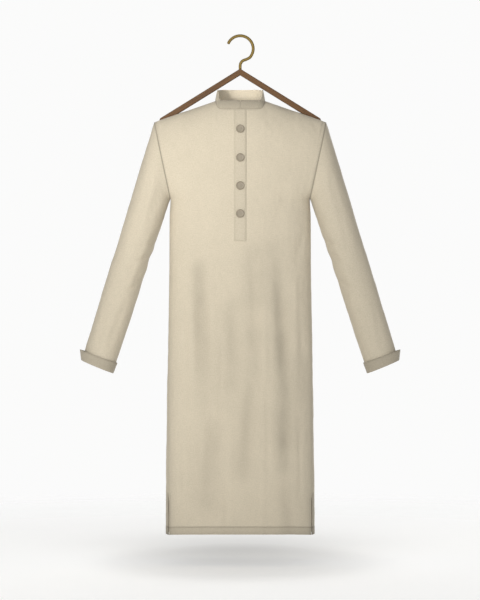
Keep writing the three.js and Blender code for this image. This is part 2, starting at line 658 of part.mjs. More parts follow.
// Hook: an arc that sweeps back to the middle and runs down into the wood.
class HookCurve extends THREE.Curve {
  getPoint(t, target = new THREE.Vector3()) {
    return this.path.getPoint(t, target);
  }
  constructor() {
    super();
    const centreZ = -(HOOK_RADIUS - WIRE_RADIUS);
    const at = (degrees) => {
      const a = THREE.MathUtils.degToRad(degrees);
      return new THREE.Vector3(HOOK_RADIUS * Math.cos(a), 0, centreZ + HOOK_RADIUS * Math.sin(a));
    };
    const points = [];
    for (let a = HOOK_FROM_DEG; a > HOOK_TO_DEG; a -= 12) points.push(at(a));
    const end = at(HOOK_TO_DEG);
    points.push(end, new THREE.Vector3(end.x * 0.6, 0, end.z - 5.2));
    points.push(new THREE.Vector3(end.x * 0.26, 0, end.z - 8.4));
    points.push(new THREE.Vector3(end.x * 0.04, 0, STEM_TOP_Z + 2));
    points.push(new THREE.Vector3(0, 0, STEM_TOP_Z - 3));
    points.push(new THREE.Vector3(0, 0, ARM_TOP_Z));
    points.push(new THREE.Vector3(0, 0, ARM_TOP_Z - STEM_DEPTH + SEAM_GAP));
    this.path = new THREE.CatmullRomCurve3(points, false, "centripetal");
  }
}

function hookWire() {
  const section = new THREE.Shape();
  for (let i = 0; i < WIRE_SIDES; i += 1) {
    const a = (i / WIRE_SIDES) * 2 * Math.PI;
    const [x, y] = [WIRE_RADIUS * Math.cos(a), WIRE_RADIUS * Math.sin(a)];
    if (i === 0) section.moveTo(x, y);
    else section.lineTo(x, y);
  }
  section.closePath();
  return new THREE.ExtrudeGeometry(section, { steps: WIRE_STEPS, extrudePath: new HookCurve() });
}

// --- Scene graph
const materials = {
  cloth: new THREE.MeshStandardMaterial({ color: COLOURS.cloth, roughness: 0.95, metalness: 0 }),
  trim: new THREE.MeshStandardMaterial({ color: COLOURS.trim, roughness: 0.95, metalness: 0 }),
  button: new THREE.MeshStandardMaterial({ color: COLOURS.button, roughness: 0.55, metalness: 0 }),
  wood: new THREE.MeshStandardMaterial({ color: COLOURS.wood, roughness: 0.5, metalness: 0 }),
  brass: new THREE.MeshStandardMaterial({ color: COLOURS.brass, roughness: 0.35, metalness: 1 }),
};

const kurta = new THREE.Group();
function addPiece(name, geometry, material) {
  const mesh = new THREE.Mesh(geometry, materials[material]);
  mesh.name = name;
  kurta.add(mesh);
  return mesh;
}

addPiece("front", frontPanel(), "cloth");
addPiece("back", panelWall(skin.back), "cloth");
for (const [name, hand] of [["left", -1], ["right", 1]]) {
  addPiece(`sleeve_${name}`, sleeveWall(hand), "cloth");
  addPiece(`cuff_${name}`, cuffRing(hand), "trim");
}
addPiece("collar", collarBand(), "trim");
addPiece("placket", placketStrip(), "trim");
BUTTON_HEIGHTS.forEach((z, i) => {
  const made = button(z);
  const mesh = addPiece(`button_${i + 1}`, made.geometry, "button");
  mesh.position.copy(made.position);
  mesh.quaternion.copy(made.turn);
});
addPiece("hanger_arms", hangerArms(), "wood");
addPiece("hanger_hook", hookWire(), "brass");

export default kurta;
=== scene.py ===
"""The looks of a kurta on a hanger: cloth shells on the solids' form, stitching, wood and brass.

Shapes are worked out in millimetres in the row frame, +Z up and the front facing -Y, and are
turned into metres when a mesh is made. In every table and call, side -1 is the front and 1 the
back, and hand -1 is the left and 1 the right.
"""

from math import pi, radians, tau

import bpy
import numpy as np
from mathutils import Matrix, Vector


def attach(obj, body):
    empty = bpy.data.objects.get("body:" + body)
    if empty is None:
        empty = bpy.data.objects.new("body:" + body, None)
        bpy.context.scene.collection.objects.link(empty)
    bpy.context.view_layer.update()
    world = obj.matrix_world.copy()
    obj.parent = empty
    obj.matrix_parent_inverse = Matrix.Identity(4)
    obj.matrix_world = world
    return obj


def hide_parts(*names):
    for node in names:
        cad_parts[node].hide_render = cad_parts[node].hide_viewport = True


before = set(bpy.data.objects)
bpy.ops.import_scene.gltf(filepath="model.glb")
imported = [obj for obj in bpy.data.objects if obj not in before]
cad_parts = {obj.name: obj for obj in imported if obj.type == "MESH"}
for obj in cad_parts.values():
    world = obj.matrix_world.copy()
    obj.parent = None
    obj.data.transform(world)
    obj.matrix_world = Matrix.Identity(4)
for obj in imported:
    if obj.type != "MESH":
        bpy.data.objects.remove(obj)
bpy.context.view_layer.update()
METRES = 0.001  # in a millimetre

# ---- body, in millimetres. _X is a half width, _Y a half depth and _Z a height.

NECK_SIDE_Z, NECK_FRONT_DROP, NECK_BACK_RISE = -160, 24, 3
SHOULDER_Z, UNDERARM_Z = -213, -405
VENT_TOP_Z, HEM_Z, HEM_LIFT = -1137, -1241.5, 4.7
NECK_X, NECK_Y = 62.5, 50
SHOULDER_X, UNDERARM_X, ARMHOLE_Y = 215, 174, 48
ROUNDNESS, NECKLINE_SQUARENESS = 2.4, 14  # exponents of the body's section and the neckline
NECK_SPREAD, NECK_SOFTENING = (15, 135), 52  # how far the back of the neck shapes the panel
TOP_EDGE_BLEND = 16  # power of the height with which the panels take up the neckline
VENT_PARTING, VENT_RUN = 3.5, 25
ARM_PARTING, PARTING_START, PARTING_END = 7.4, (132, 146), (202, 208.5)
CLOTH = 1.2  # wall of a panel

BODY_SECTIONS = [  # z, half width, front depth, back depth, how far the seam lies forward
    (-1241.5, 186, 73, 70, 28), (-1120, 185.5, 72, 70, 27), (-960, 183.2, 70, 68, 21),
    (-760, 180, 67, 66, 15), (-560, 177, 64, 65, 6), (-450, 176.4, 63, 66, 1),
    (-405, 174, 62, 66, 0), (-150, 174, 58, 62, 0),
]

# The solids' own troughs: from (x, z) to (x, z), half width, depth.
FOLDS = {-1: [
    (-104, -545, -90, -915, 16, 10), (-116, -905, -110, -1200, 16, 5),
    (-60, -900, -86, -1165, 17, 7), (-24, -625, 0, -915, 21, 6), (32, -505, 39, -850, 16, 6),
    (38, -820, 5, -1135, 16, 8), (76, -500, 80, -600, 20, 4), (92, -560, 117, -905, 16, 10),
    (116, -880, 107, -1100, 16, 9), (110, -1070, 125, -1241.5, 17, 4),
    (148, -665, 152, -880, 16, 4),
], 1: [
    (-118, -480, -104, -880, 17, 9), (-74, -830, -98, -1190, 17, 7), (-30, -560, -46, -960, 19, 7),
    (8, -700, -4, -1100, 20, 8), (52, -520, 44, -820, 16, 6), (96, -450, 78, -930, 17, 10),
    (70, -900, 92, -1241.5, 17, 6), (138, -620, 128, -1150, 16, 6),
]}
# Small creases of the same kind, only in the looks.
FINE_FOLDS = {-1: [
    (-140, -640, -134, -980, 7, 1.6), (-76, -560, -66, -800, 8, -1.6),
    (-44, -700, -52, -1010, 7, 1.4), (-20, -920, -28, -1180, 8, -1.6), (12, -560, 16, -760, 6, 1.2),
    (58, -620, 62, -880, 8, -2.0), (70, -860, 66, -1120, 7, 1.6), (134, -560, 142, -840, 7, -1.5),
    (146, -900, 150, -1200, 7, 1.4), (-150, -940, -152, -1200, 7, 1.3),
    (60, -1020, 54, -1241.5, 8, -1.5), (-30, -1060, -36, -1241.5, 8, 1.4),
    (-168, -470, -120, -640, 9, 1.5), (166, -460, 128, -600, 9, 1.6),
    (-120, -330, -92, -500, 12, 1.2), (124, -320, 88, -500, 12, 1.3),
    (-176, -250, -110, -330, 12, 0.9), (176, -250, 104, -340, 12, 1.0),
], 1: [
    (-146, -600, -140, -960, 7, 1.6), (-58, -480, -66, -760, 8, -1.6), (24, -470, 30, -700, 7, 1.4),
    (-14, -880, -22, -1200, 8, -1.5), (112, -760, 118, -1080, 7, 1.6),
    (40, -960, 34, -1241.5, 7, 1.5), (-128, -960, -132, -1241.5, 8, 1.4),
    (168, -460, 120, -620, 9, 1.6), (-166, -460, -122, -640, 9, 1.5),
    (-130, -280, -60, -400, 14, 1.4), (130, -285, 66, -410, 14, 1.4), (0, -230, 4, -420, 18, 1.2),
]}
# Painted shade in the deeper folds of the rumpled cloth: from (x, z) to (x, z), half width, how much
# of 1.
DARK_CREASES = {-1: [
    (-103, -535, -99, -800, 17, 0.15), (-99, -760, -92, -980, 22, 0.09),
    (-63, -930, -90, -1200, 30, 0.12), (-20, -630, -26, -900, 26, 0.10),
    (48, -490, 50, -700, 36, 0.12), (42, -700, 6, -1125, 28, 0.11), (90, -540, 101, -740, 15, 0.16),
    (102, -700, 110, -1115, 20, 0.17), (136, -770, 130, -1050, 40, 0.10),
    (118, -1080, 128, -1241.5, 24, 0.08), (-104, -540, -100, -690, 15, 0.07),
    (117, -630, 116, -810, 16, 0.07), (-74, -710, -48, -960, 24, 0.06),
    (-20, -850, -10, -970, 22, 0.05), (70, -890, 78, -1050, 20, 0.06),
    (80, -480, 84, -580, 26, 0.05),
], 1: [
    (-116, -480, -104, -880, 18, 0.07), (-80, -830, -98, -1190, 26, 0.06),
    (-32, -560, -44, -960, 22, 0.07), (8, -690, -4, -1100, 24, 0.07),
    (94, -450, 78, -930, 20, 0.08), (74, -900, 92, -1241.5, 24, 0.06),
]}
FOLD_END, FINE_FOLD_END, DARK_CREASE_END = 130, 80, 50  # run over which they fade in and out
SIDE_FADE, SEAM_FADE = (0.1, 0.45), (0, 0.2)  # folds die out on the turn to the side seam

# The grid of a panel: x of the columns near the neck, shares of the width near the armhole.
NECK_COLUMNS = (50, 55, 58, 60, 61.3, 62.2, 62.5, 63.5, 66, 70, 75)
ARMHOLE_COLUMNS = (0.0015, 0.004, 0.0075, 0.012, 0.018)
HALF_COLUMNS, NARROWEST_COLUMN = 64, 0.0012
HEM_ROWS, HEM_LINE_ROWS = (0, 0.6, 1.6, 4, 8, 12), (-4, -2.4, -1.6, -0.8, 0, 0.8, 1.6, 2.4, 4, 6.5)
MAIN_ROWS, ARMHOLE_ROWS = 168, 56

# Sewing: the turned hem's height, and how far rows of stitches lie from an edge.
HEM_TURN, VENT_STITCH, ARMHOLE_STITCH, TRIM_STITCH = 19, 6, 4.5, 2.4
HEM_LINE, VENT_LINE, TRIM_LINE, SEAM_DITCH = 1.5, 1.0, 0.7, 1.6  # half widths of pressed lines

# How much each of these darkens the cloth, of 1. A trough does so for each mm of its depth.
# The parts for troughs, creases, the body's sides, the back behind a vent, the sleeve's top side,
# the sleeve under its cuff and the collar's front band are painted shade; the seams, stitched and
# pressed lines are darker joints, and the hem strip is darker, most at its bottom edge.
DARK = dict(
    trough=0.006, crease=1, armhole=0.6, side_seam=0.12, hem_line=0.45, vent_line=0.2,
    body_side=0.09, hem=0.2, vent_back=0.22, sleeve_side=0.07, sleeve_seam=0.1, under_cuff=0.04,
    cuff_line=0.12, collar_front=0.38, collar_line=0.1, collar_foot=0.2, placket_line=0.08,
    placket_edge=0.12,
)

# ---- sleeves, trims and hanger

SLEEVE_OUTER = (215, -213, 396, -807)  # from (x, z) to (x, z)
SLEEVE_INNER = (175.2, -405, 318.5, -839)
SLEEVE_TWIST = 1.6  # how soon the rings turn square to the sleeve
SLEEVE_SECTIONS = [  # t along the sleeve, half depth, sag
    (0, 48, 0), (0.25, 51, 2), (0.55, 46, 3), (0.8, 41, 1), (1, 37, 0),
]
SLEEVE_CREASES = [(0.42, 0.035, 1.8), (0.52, 0.03, 2.4), (0.63, 0.04, 1.5)]  # t, width, depth
SLEEVE_LENGTH, SLEEVE_RADIUS, SLEEVE_TAPER = 622, 46, 8
SLEEVE_FIRST_ROWS, SLEEVE_LAST_ROWS = (0.004, 0.009, 0.016, 0.025), (0.992, 1.0)  # t of rings
SLEEVE_MAIN_ROWS = (0.036, 0.985, 128)  # from t to t, and how many
SLEEVE_EASE = 0.09  # t over which the rings leave the armhole's own loop
SLEEVE_FOLDS = [  # t and turn in degrees at both ends, half width, depth
    (0.05, 60, 0.40, 75, 10, 1.8), (0.12, 110, 0.55, 95, 9, 1.6), (0.35, 50, 0.72, 70, 9, -1.6),
    (0.50, 20, 0.58, 100, 8, 2.2), (0.42, 10, 0.47, 80, 7, 1.6), (0.62, 15, 0.70, 90, 8, 1.5),
    (0.70, 60, 0.95, 75, 8, 1.6), (0.75, 120, 0.96, 105, 7, 1.5), (0.10, 250, 0.50, 265, 10, 1.8),
    (0.45, 290, 0.90, 275, 9, 1.8), (0.52, 350, 0.60, 260, 8, 2.0), (0.20, 190, 0.60, 175, 9, 1.3),
]
SHORT_FOLD = 0.12  # a fold over less of t than this runs across the sleeve

CUFF_START, CUFF_FLARE, CUFF_LIFT, CUFF_CLOTH, CUFF_SIDES = 0.963, 10, 1.2, 1.5, 112
CUFF_RADIUS = 41  # about, for its weave
CUFF_PROFILE = [  # t, share of the band's thickness
    (1.0, 0), (0.985, 0), (0.975, 0), (CUFF_START + 0.004, 0), (CUFF_START, 0.25),
    (CUFF_START - 0.0006, 0.6), (CUFF_START, 0.9), (CUFF_START + 0.004, 1), (0.97, 1),
    (0.976, 1), (0.984, 1), (0.994, 1), (0.999, 1), (1.0008, 0.75), (1.0012, 0.4),
]

COLLAR_TOP_Z, COLLAR_BACK_RISE = -132, 3.5
COLLAR_TOP_X, COLLAR_TOP_Y = 57, 46
COLLAR_FRONT_HEIGHT, COLLAR_CLOTH, COLLAR_OPENING, COLLAR_SQUARENESS = 23, 2.0, 0.8, 22
COLLAR_PROFILE = [  # share of the height, share of the thickness: up the outside, down the inside
    (0.0, 1), (0.03, 1), (0.08, 1), (0.2, 1), (0.35, 1), (0.5, 1), (0.65, 1), (0.78, 1),
    (0.86, 1), (0.9, 1), (0.95, 1), (0.985, 0.95), (1.0, 0.7), (1.0, 0.3), (0.985, 0.05),
    (0.95, 0), (0.8, 0), (0.5, 0), (0.2, 0), (0.0, 0),
]
COLLAR_SEAMS = (2, 9)  # places in the profile with a row of stitches
COLLAR_INSIDE = 13  # place in the profile where the inside starts

PLACKET_END_Z, PLACKET_X, TRIM_GAP, TRIM_CLOTH = -511.5, 15, 0.45, 1.2
PLACKET_COLUMNS = (0, 0.3, 0.6, 0.8, 0.85, 0.9, 0.95, 0.985, 1)  # shares of its half width
PLACKET_EDGE_ROWS, PLACKET_ROWS = (0, 0.5, 1.2, 2.2, 3.4), 120
PLACKET_BAR = 24  # height over its end of the upper row of stitches across it
BUTTON_HEIGHTS = (-233.5, -304.3, -374.1, -443.3)
BUTTON_RADIUS, BUTTON_THICKNESS, BUTTON_GAP, BUTTON_SIDES = 10.5, 3.0, 0.55, 56
BUTTON_PROFILE = [  # share of the radius, share of the thickness: under the rim, over it, the dish
    (0, 0), (0.86, 0), (0.95, 0.12), (0.992, 0.3), (1, 0.5), (0.992, 0.7), (0.965, 0.86),
    (0.915, 0.97), (0.85, 1), (0.79, 0.97), (0.74, 0.88), (0.70, 0.78), (0.62, 0.72),
    (0.45, 0.73), (0.25, 0.76), (0.1, 0.775), (0, 0.78),
]

ARM_SLOPE, ARM_TOP_Z = 0.62, -79
WIRE_RADIUS, HOOK_RADIUS, HOOK_FROM, HOOK_TO, HOOK_STEP = 3.5, 32.5, 159, -42, 12
HOOK_BEND = [(0.6, 5.2), (0.26, 8.4)]  # share of the arc end's x, drop below it
STEM_TOP_Z, STEM_DEPTH = -68, 11
WIRE_SWELL, WIRE_SIDES, TIP_ROUNDING, TIP_FLAT = 1.06, 20, 2.2, 0.1414

FLOOR_Z, FLOOR_RADIUS, FLOOR_RINGS, FLOOR_SIDES = -1312, 2300, 12, 64
FLOOR_FADE = (1.1, 2.25)  # metres from the middle
# Painted shadows on the floor under the kurta.
FLOOR_PATCHES = [  # y of the middle and half sizes in metres, power of the fall-off, how dark
    (0.0, (0.34, 0.42, 1), 6, 0.19),
    (0.44, (0.3, 0.36, 1), 2, 0.24),
]

# ---- small tools


def smooth(x, low, high):
    """0 up to low, 1 from high on, and a soft step between them."""
    t = np.clip((x - low) / (high - low), 0, 1)
    return t * t * (3 - 2 * t)


def lerp(a, b, t):
    return a + (b - a) * t


def ridge(distance, width, power=2):
    """1 at a distance of 0, fading to nothing past the given width."""
    return np.exp(-(np.abs(distance / width) ** power))


def curve(table, k):
    """Column k of a table as a smooth curve over its first column, monotone where the rows are."""
    rows = np.array(sorted(table), float)
    at, values = rows[:, 0], rows[:, k]
    step = np.diff(at)
    slope = np.diff(values) / step
    tangent = np.concatenate([slope[:1], np.zeros(len(at) - 2), slope[-1:]])
    before, after = slope[:-1], slope[1:]
    same = before * after > 0
    total = np.where(same, before + after, 1)
    tangent[1:-1] = np.where(same, 2 * before * after / total, 0)

    def value(x):
        x = np.clip(x, at[0], at[-1])
        i = np.clip(np.searchsorted(at, x, side="right") - 1, 0, len(at) - 2)
        s = (x - at[i]) / step[i]
        bend = s * (s - 1) * ((s - 1) * tangent[i] + s * tangent[i + 1])
        return lerp(values[i], values[i + 1], smooth(s, 0, 1)) + bend * step[i]

    return value


def waves(u, v, seed, size, stretch=1.0, count=14):
    """Soft unevenness from -1 to 1: a sum of slanted waves about size long, longer along v."""
    rng = np.random.default_rng(seed)
    total = 0.0
    for _ in range(count):
        a = rng.uniform(0, tau)
        k = tau / (size * rng.uniform(0.7, 1.8))
        phase = rng.uniform(0, tau)
        total = total + np.sin(k * (np.cos(a) * u + np.sin(a) * v / stretch) + phase)
    return total / np.sqrt(count / 2) / 2


def turns(count):
    """Angles in equal steps over a full turn."""
    return np.arange(count) / count * tau


def unit(vectors):
    return vectors / np.maximum(np.linalg.norm(vectors, axis=-1, keepdims=True), 1e-9)


def normals_of(grid, closed=False):
    """Normals of a grid of points, rows by columns; closed joins the last column to the first."""
    ring = np.roll(grid, -1, 1) - np.roll(grid, 1, 1)
    across = ring if closed else np.gradient(grid, axis=1)
    return unit(np.cross(across, np.gradient(grid, axis=0)))


def along(points, axis=0):
    """Distance along a line of points, or along a grid's columns (axis 0) or rows (axis 1)."""
    step = np.linalg.norm(np.diff(points, axis=axis), axis=-1)
    zero = np.zeros_like(np.take(step, [0], axis=axis))
    return np.cumsum(np.concatenate([zero, step], axis=axis), axis=axis)


def pairs(u, v):
    """Two coordinates side by side, for every point of the grid that they span."""
    return np.stack(np.broadcast_arrays(u, v), -1)


def between(places, known, table):
    """What a table, with a row for each known place, holds at other places."""
    return np.stack([np.interp(places, known, column) for column in np.transpose(table)], -1)


# ---- making objects


def link(name, data):
    obj = bpy.data.objects.new(name, data)
    bpy.context.scene.collection.objects.link(obj)
    return obj


def new_object(name, points, faces, material, uv=None, shade=None, sharp=50):
    """A mesh from points in mm. uv, in mm along the cloth, and shade are given for each point."""
    mesh = bpy.data.meshes.new(name)
    mesh.from_pydata((np.reshape(points, (-1, 3)) * METRES).tolist(), [], faces)
    if uv is not None:
        corner = np.zeros(len(mesh.loops), np.int32)
        mesh.loops.foreach_get("vertex_index", corner)
        uv = np.asarray(np.reshape(uv, (-1, 2)) * METRES, np.float32)
        mesh.uv_layers.new(name="cloth").data.foreach_set("uv", uv[corner].ravel())
        values = mesh.attributes.new("shade", "FLOAT", "POINT")
        values.data.foreach_set("value", np.asarray(shade, np.float32).ravel())
    mesh.shade_smooth()
    mesh.set_sharp_from_angle(angle=radians(sharp))
    for m in material if isinstance(material, list) else [material]:
        mesh.materials.append(m)
    return link(name, mesh)


def quads(rows, columns, closed=False, start=0, flip=False):
    """Faces of a grid of points numbered row by row from start."""
    i, j = np.mgrid[0 : rows - 1, 0 : columns if closed else columns - 1]
    k = (j + 1) % columns
    low, high = i * columns, (i + 1) * columns
    ring = [low + j, low + k, high + k, high + j]
    faces = np.stack(ring[::-1] if flip else ring, axis=-1).reshape(-1, 4) + start
    return faces.tolist()


def capped(rows, columns, start=0):
    """Faces of rings of points joined along their length, with both ends closed."""
    first, last = (list(range(k, k + columns)) for k in (start, start + (rows - 1) * columns))
    return quads(rows, columns, True, start, flip=True) + [first, last[::-1]]


def fan(first, sides, middle, flip=False):
    """Triangles from a ring of points to its middle."""
    faces = [[middle, first + n, first + (n + 1) % sides] for n in range(sides)]
    return [face[::-1] for face in faces] if flip else faces


def wall(name, outer, inner, closed, uv, shade, material, flip=False):
    """A closed shell between two grids of points."""
    rows, columns = outer.shape[:2]
    count = rows * columns
    faces = quads(rows, columns, closed, 0, flip) + quads(rows, columns, closed, count, not flip)
    k = np.arange(count).reshape(rows, columns)
    if closed:
        rims = [[*k[0], 0], [k[-1, 0], *k[-1, ::-1]]]
    else:
        rims = [[*k[0], *k[1:, -1], *k[-1, -2::-1], *k[-2::-1, 0]]]
    for rim in rims:
        a, b = np.array(rim[:-1]), np.array(rim[1:])
        ring = [b, a, a + count, b + count]
        faces += np.stack(ring[::-1] if flip else ring, axis=-1).tolist()
    points, uv, shade = (np.stack(pair) for pair in ((outer, inner), (uv, uv), (shade, shade)))
    return new_object(name, points, faces, material, uv, shade)


THREAD_SIDES, THREAD_FLATNESS, THREAD_RISE = 6, 0.7, 0.35
THREAD_PROFILE = ((-0.5, 0.35), (-0.3, 1.0), (0.3, 1.0), (0.5, 0.35))  # place, thickness


def stitches(name, lines, material, length=2.4, pitch=3.6, radius=0.32):
    """Rows of short threads. Each line is (points, normals), in mm, and the threads lie on it."""
    points, faces = [], []
    turn = turns(THREAD_SIDES)[:, None]
    for path, normal in lines:
        run = along(path)
        for middle in np.arange(pitch / 2, run[-1], pitch):
            start, end = between([middle - 0.5, middle + 0.5], run, path)
            way, up = unit(end - start), between(middle, run, normal)
            up = unit(up - way * up.dot(way))
            ring = np.cos(turn) * np.cross(way, up) + THREAD_FLATNESS * np.sin(turn) * up
            at = (start + end) / 2 + up * radius * THREAD_RISE
            faces += capped(len(THREAD_PROFILE), THREAD_SIDES, len(points))
            for place, thick in THREAD_PROFILE:
                points.extend(at + way * place * length + ring * radius * thick)
    points = np.array(points)
    return new_object(name, points, faces, material, points[:, [0, 2]], np.zeros(len(points)), 80)


# ---- materials


class Nodes:
    """Adds and links the shader nodes of a material or a world."""

    def __init__(self, owner):
        owner.use_nodes = True
        self.owner = owner
        self.tree = owner.node_tree
        self.shader = self.tree.nodes.get("Principled BSDF")

    def add(self, kind, *values, _out=0, _set=None, **named):
        """A new node's output. Its inputs are given in their order or by their names."""
        node = self.tree.nodes.new("ShaderNode" + kind)
        for key, value in (_set or {}).items():
            setattr(node, key, value)
        for key, value in [*enumerate(values), *named.items()]:
            self.put(node.inputs[key], value)
        return node.outputs[_out]

    def put(self, socket, value):
        if isinstance(value, bpy.types.NodeSocket):
            self.tree.links.new(value, socket)
        else:
            socket.default_value = value

    def math(self, operation, *values):
        return self.add("Math", *values, _set={"operation": operation})

    def fit(self, value, factor, offset):
        return self.math("MULTIPLY_ADD", value, factor, offset)

    def vector(self, operation, *values, _out=0):
        return self.add("VectorMath", *values, _out=_out, _set={"operation": operation})

    def where(self):
        """The object's own coordinates, in metres."""
        return self.add("TexCoord", _out=3)

    def uv(self):
        return self.add("UVMap", _set={"uv_map": "cloth"})

    def split(self, vector):
        return list(self.add("SeparateXYZ", vector).node.outputs)

    def noise(self, vector, scale, detail=2.0, stretch=(1, 1, 1)):
        mapped = self.add("Mapping", vector, Scale=stretch)
        return self.add("TexNoise", mapped, Scale=scale, Detail=detail)

    def wave(self, vector, scale, direction):
        """Threads side by side: sine bands along one direction."""
        bands = {"bands_direction": direction}
        return self.add("TexWave", vector, _out=1, _set=bands, Scale=scale)

    def scaled(self, colour, amount):
        return self.add("VectorMath", colour, _set={"operation": "SCALE"}, Scale=amount)

    def finish(self, colour, roughness, relief, **fixed):
        """Sets the shader. relief is the bump's height, strength and distance. In the name of
        a fixed value, _ stands for a space."""
        self.put(self.shader.inputs["Base Color"], colour)
        self.put(self.shader.inputs["Roughness"], roughness)
        if relief:
            height, strength, distance = relief
            bump = self.add("Bump", Height=height, Strength=strength, Distance=distance)
            self.put(self.shader.inputs["Normal"], bump)
        for name, value in fixed.items():
            self.shader.inputs[name.replace("_", " ")].default_value = value
        return self.owner


def new_material(name):
    return Nodes(bpy.data.materials.new(name))


CLOTH_COLOUR, DARKEST = (0.485, 0.43, 0.332), 0.75  # DARKEST: what a full shade takes away
BUTTON_COLOUR, BRASS_COLOUR = (0.222, 0.188, 0.134), (0.276, 0.197, 0.066)
WOOD_DARK, WOOD_PALE = (0.044, 0.018, 0.005, 1), (0.147, 0.069, 0.019, 1)


def cloth_material(name, tone=1.0):
    """Linen-cotton weave: crossing threads with slubs, a fine speckle, darker seams and painted
    shade.
    """
    n = new_material(name)
    uv = n.uv()
    shade = n.add("Attribute", _out=2, _set={"attribute_name": "shade"})
    speckle = n.noise(uv, 330, 3.0)
    layers = (  # texture, its middle, how much it changes the colour, its height in metres
        (speckle, 0.5, 0.34, 0.00016),
        (n.noise(uv, 22, 3.0), 0.5, 0.08, 0.0012),
        (n.noise(uv, 60, 2.0, (1, 14, 1)), 0.5, 0.16, 0.0003),
        (n.noise(uv, 60, 2.0, (14, 1, 1)), 0.5, 0.12, 0.0003),
        (n.math("ADD", n.wave(uv, 480, "X"), n.wave(uv, 520, "Y")), 1.0, 0.03, 0.00006),
    )
    value, height = 1.0, 0.0
    for texture, middle, change, tall in layers:
        value = n.fit(n.math("SUBTRACT", texture, middle), change, value)
        height = n.fit(texture, tall, height)
    value = n.math("MULTIPLY", value, n.fit(shade, -DARKEST, 1.0))
    return n.finish(
        n.scaled([c * tone for c in CLOTH_COLOUR], value),
        n.fit(speckle, 0.1, 0.85),
        (height, 0.6, 1.0),
        Sheen_Weight=0.12,
        Sheen_Roughness=0.5,
        Specular_IOR_Level=0.2,
    )


def button_material():
    """Corozo-like button: faint mottling, a fine grain and a satin polish."""
    n = new_material("button")
    mottle, grain = n.noise(n.where(), 260, 4.0), n.noise(n.where(), 1500, 2.0)
    value = n.fit(mottle, 0.35, n.fit(grain, 0.12, 0.76))
    return n.finish(n.scaled(BUTTON_COLOUR, value), n.fit(mottle, 0.25, 0.35), (grain, 0.25, 0.0002))


def wood_material():
    """Stained wood whose grain runs along both arms."""
    n = new_material("wood")
    x, y, z = n.split(n.where())
    out = n.math("ABSOLUTE", x)
    angle = np.arctan(ARM_SLOPE)
    run = n.fit(out, np.cos(angle), n.math("MULTIPLY", z, -np.sin(angle)))
    rise = n.fit(out, np.sin(angle), n.math("MULTIPLY", z, np.cos(angle)))
    apart = n.fit(n.math("SIGN", x), 0.05, y)  # so that the arms aren't mirror images
    grain = n.add("CombineXYZ", run, apart, rise)
    fibres = n.noise(grain, 420, 3.0, (0.035, 1, 1))
    bands = n.noise(grain, 150, 2.0, (0.06, 1, 1.4))
    bend = n.noise(grain, 30, 2.0, (0.25, 1, 1))
    pores = n.math("GREATER_THAN", n.noise(grain, 1400, 2.0, (0.05, 1, 1)), 0.62)
    value = n.fit(pores, -0.14, n.fit(bend, 0.3, n.fit(bands, 0.55, n.math("MULTIPLY", fibres, 0.5))))
    ramp = n.add("ValToRGB", value)
    dark, pale = ramp.node.color_ramp.elements
    dark.position, pale.position = 0.38, 0.92
    dark.color, pale.color = WOOD_DARK, WOOD_PALE
    fixed = {"Specular_IOR_Level": 0.3, "Coat_Weight": 0.05, "Coat_Roughness": 0.25}
    return n.finish(ramp, n.fit(fibres, 0.25, 0.45), (value, 0.35, 0.0004), **fixed)


def brass_material():
    """Drawn wire that has dulled: uneven tarnish and fine scratches along it."""
    n = new_material("brass")
    tarnish = n.noise(n.where(), 60, 4.0)
    scratch = n.noise(n.uv(), 900, 2.0, (1, 0.03, 1))
    colour = n.scaled(BRASS_COLOUR, n.fit(tarnish, 0.3, 0.82))
    return n.finish(colour, n.fit(tarnish, 0.2, 0.58), (scratch, 0.05, 0.0001), Metallic=1.0)


def thread_material(name, colour):
    """Twisted sewing thread."""
    n = new_material(name)
    twist = n.noise(n.where(), 1800, 2.0)
    return n.finish(n.scaled(colour, n.fit(twist, 0.5, 0.75)), 0.8, (twist, 0.4, 0.0001))


# ---- body skin

half_width_at, front_at_z, back_at_z, seam_at = (curve(BODY_SECTIONS, k) for k in range(1, 5))


def oval(share):
    return np.maximum(0, 1 - np.abs(share) ** ROUNDNESS) ** (1 / ROUNDNESS)


def top_edge_z(side, x):
    """Height of the shoulder seam and, inside it, of the neckline."""
    squareness = NECKLINE_SQUARENESS if side < 0 else ROUNDNESS
    rise = -NECK_FRONT_DROP if side < 0 else NECK_BACK_RISE
    dip = 1 - np.minimum(np.abs(x) / NECK_X, 1) ** squareness
    return np.where(np.abs(x) >= NECK_X, cap_z(x), NECK_SIDE_Z + rise * dip)


def rounding(drop, reach):
    """A quarter round: 0 at a drop of 0, and 1 from the given reach on."""
    return np.sqrt(1 - (1 - np.clip(drop / reach, 0, 1)) ** 2)


def top_depth(side, x, z):
    """How far the shoulder seam parts over the arms and, at the back, how deep the neck is."""
    out = np.abs(x)
    parting = ARM_PARTING * smooth(out, *PARTING_START) * (1 - smooth(out, *PARTING_END))
    if side < 0:
        return parting
    neck = NECK_Y * oval(np.minimum(out / NECK_X, 1))
    edge = np.where(out < NECK_X, neck, parting)
    spread = NECK_Y * (1 - smooth(out, *NECK_SPREAD))
    return lerp(edge, spread, rounding(top_edge_z(side, x) - z, NECK_SOFTENING))


def cap_z(x):
    """The shoulder line carried on in a soft curve over the neck."""
    slope = (NECK_SIDE_Z - SHOULDER_Z) / (SHOULDER_X - NECK_X)
    out = np.abs(x)
    over = slope * (NECK_X**2 - out * out) / (2 * NECK_X)
    return NECK_SIDE_Z + np.where(out < NECK_X, over, slope * (NECK_X - out))


def soft_drop(side, x, z):
    """Drop below the cap; on the back it starts from the top edge itself."""
    below = top_edge_z(side, x) - z
    soft = cap_z(x) - z
    return soft if side < 0 else lerp(below, soft, smooth(below, 0, NECK_SOFTENING))


def armhole_x(z):
    share = np.clip((z - UNDERARM_Z) / (SHOULDER_Z - UNDERARM_Z), 0, 1)
    return lerp(UNDERARM_X, SHOULDER_X, share)


